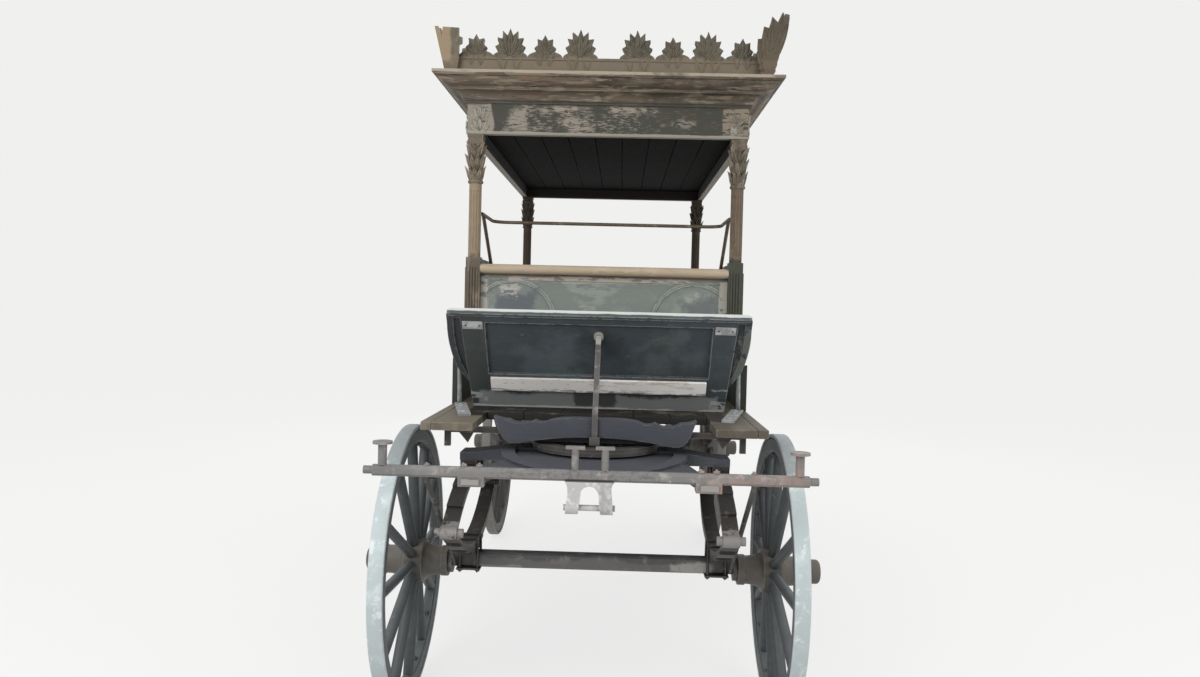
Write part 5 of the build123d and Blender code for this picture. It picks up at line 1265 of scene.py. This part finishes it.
rows = [fastening(on_toe_board(0, 0.342, 4 * MM), toe_out, 1, X_AXIS)]
for side in (-1, 1):
    for x, y in PLATFORM_HEADS:
        rows.append(fastening((side * x, front_axle.y + y, HEAD_Z), UP, 0.8))
place_forms("toe_board_bolt_heads", dome, rows, "plate", CARRIAGE_IRON)
HINGE_X, HINGE_LEAF_Y = 0.330, 1.7254
for label, home, offsets, heights in (
    ("fixed", CARRIAGE_IRON, (-36.5 * MM, 36.5 * MM), (0.998, 1.012)),
    ("moving", ("tailboard", "old_iron"), (0,), (1.057, 1.078)),
):
    rows = []
    for side in (-1, 1):
        for dx in offsets:
            for z in heights:
                rows.append(fastening((side * HINGE_X + dx, HINGE_LEAF_Y, z), BACK, 0.42, UP))
    place_forms(f"hinge_screws_{label}", dome, rows, "iron", home)

# %% [markdown]
# ## Toe board plates and seat rail
# Two thin steel plates cover the toe board's upper corners, scuffed pale by boots, each with
# two screws. The seat's front rail ends on the right in a short round tenon.

# %% Corner plates and tenon
PLATE_SIZE, PLATE_UP = (74 * MM, 3 * MM, 34 * MM), 0.385
plates, screws = [], []
lying = pointing(toe_out, toe_up)
for side in (-1, 1):
    plates.append((on_toe_board(side * 0.457, PLATE_UP, 1 * MM), lying, PLATE_SIZE))
    for x in (0.432, 0.482):
        screws.append(fastening(on_toe_board(side * x, PLATE_UP, 2 * MM), toe_out, 0.4, X_AXIS))
place_forms("toe_corner_plates", cube, plates, "plate", CARRIAGE_IRON, jitter=0.01, bevel=0.8 * MM)
place_forms("toe_plate_screws", dome, screws, "iron", CARRIAGE_IRON)
rail_low, rail_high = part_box("seat_front_rail")
rail_middle = (rail_low + rail_high) / 2
spot = Vector((rail_high.x - 2 * MM, rail_middle.y - 4 * MM, rail_middle.z - 8 * MM))
vertices, faces = capped([(11, 0), (12, 3), (11, 38), (8, 44)], 20)
tenon = mesh_of("seat_rail_tenon", [spot + Vector((z, x, y)) for x, y, z in vertices], faces=faces)
add_piece("seat_rail_tenon", tenon, ("carriage", "bare_wood"), "bare_rail")
for form_object in FORMS:
    bpy.data.objects.remove(form_object)

# %% [markdown]
# ## Studio
# A plain pale floor and a pale world, so that each colour shows about as it is written. Broad
# lamps in front, beside and behind give soft shadows. The floor and the world look pale to the
# camera and to reflections by Light Path, and the floor still takes the shadow of the hearse.

# %% Floor and light
FLOOR_HALF, FLOOR_GLOW, WORLD_LIGHT = 60, 0.722, 0.7
PALE = colour("F0F0EF")


def seen_by(tree):
    """1 for camera and glossy rays, and 0 for the rays that light the hearse."""
    ray = node(tree, "ShaderNodeLightPath").outputs
    kinds = {0: ray["Is Camera Ray"], 1: ray["Is Glossy Ray"]}
    return node(tree, "ShaderNodeMath", kinds, operation="MAXIMUM")


corners = [(x * FLOOR_HALF, y * FLOOR_HALF, 0) for x, y in ((-1, -1), (1, -1), (1, 1), (-1, 1))]
floor_mesh = mesh_of("floor", corners, faces=[(0, 1, 2, 3)])
floor = in_scene("floor", floor_mesh)
floor_finish = new_material("pale_studio_floor")
tree = floor_finish.node_tree
seen = seen_by(tree)
bounce = node(tree, "ShaderNodeBsdfDiffuse", {0: colour("D8D6D2")})
shaded = node(tree, "ShaderNodeBsdfDiffuse", {0: colour("7F7E7C")})
glow = node(tree, "ShaderNodeEmission", {0: colour("FFFFFF"), 1: FLOOR_GLOW})
lifted = node(tree, "ShaderNodeAddShader", {0: shaded, 1: glow})
both = node(tree, "ShaderNodeMixShader", {0: seen, 1: bounce, 2: lifted})
node(tree, "ShaderNodeOutputMaterial", {0: both})
floor_mesh.materials.append(floor_finish)

world = bpy.data.worlds.new("studio")
bpy.context.scene.world = world
world.use_nodes = True
tree = world.node_tree
tree.nodes.clear()
seen = seen_by(tree)
fill = node(tree, "ShaderNodeBackground", {0: colour("FFFFFF"), 1: WORLD_LIGHT})
backdrop = node(tree, "ShaderNodeBackground", {0: PALE, 1: 1.0})
blend = node(tree, "ShaderNodeMixShader", {0: seen, 1: fill, 2: backdrop})
node(tree, "ShaderNodeOutputWorld", {0: blend})

LAMPS = (  # name, place, width in metres, watts
    ("key_lamp", (-2.6, -5.2, 3.6), 3.2, 135),
    ("fill_lamp", (4.2, -3.4, 2.6), 3.0, 55),
    ("rear_lamp", (0.5, 5.5, 4.5), 3.0, 80),
)
LIT_PLACE = Vector((0, 0, 1.2))
for name, spot, width, watts in LAMPS:
    light = bpy.data.lights.new(name, "AREA")
    light.size = width
    light.energy = watts
    lamp = in_scene(name, light)
    lamp.location = spot
    lamp.rotation_euler = (LIT_PLACE - Vector(spot)).to_track_quat("-Z", "Y").to_euler()
bpy.context.scene.view_settings.view_transform = "Standard"
print("lamps", [name for name, *_ in LAMPS])
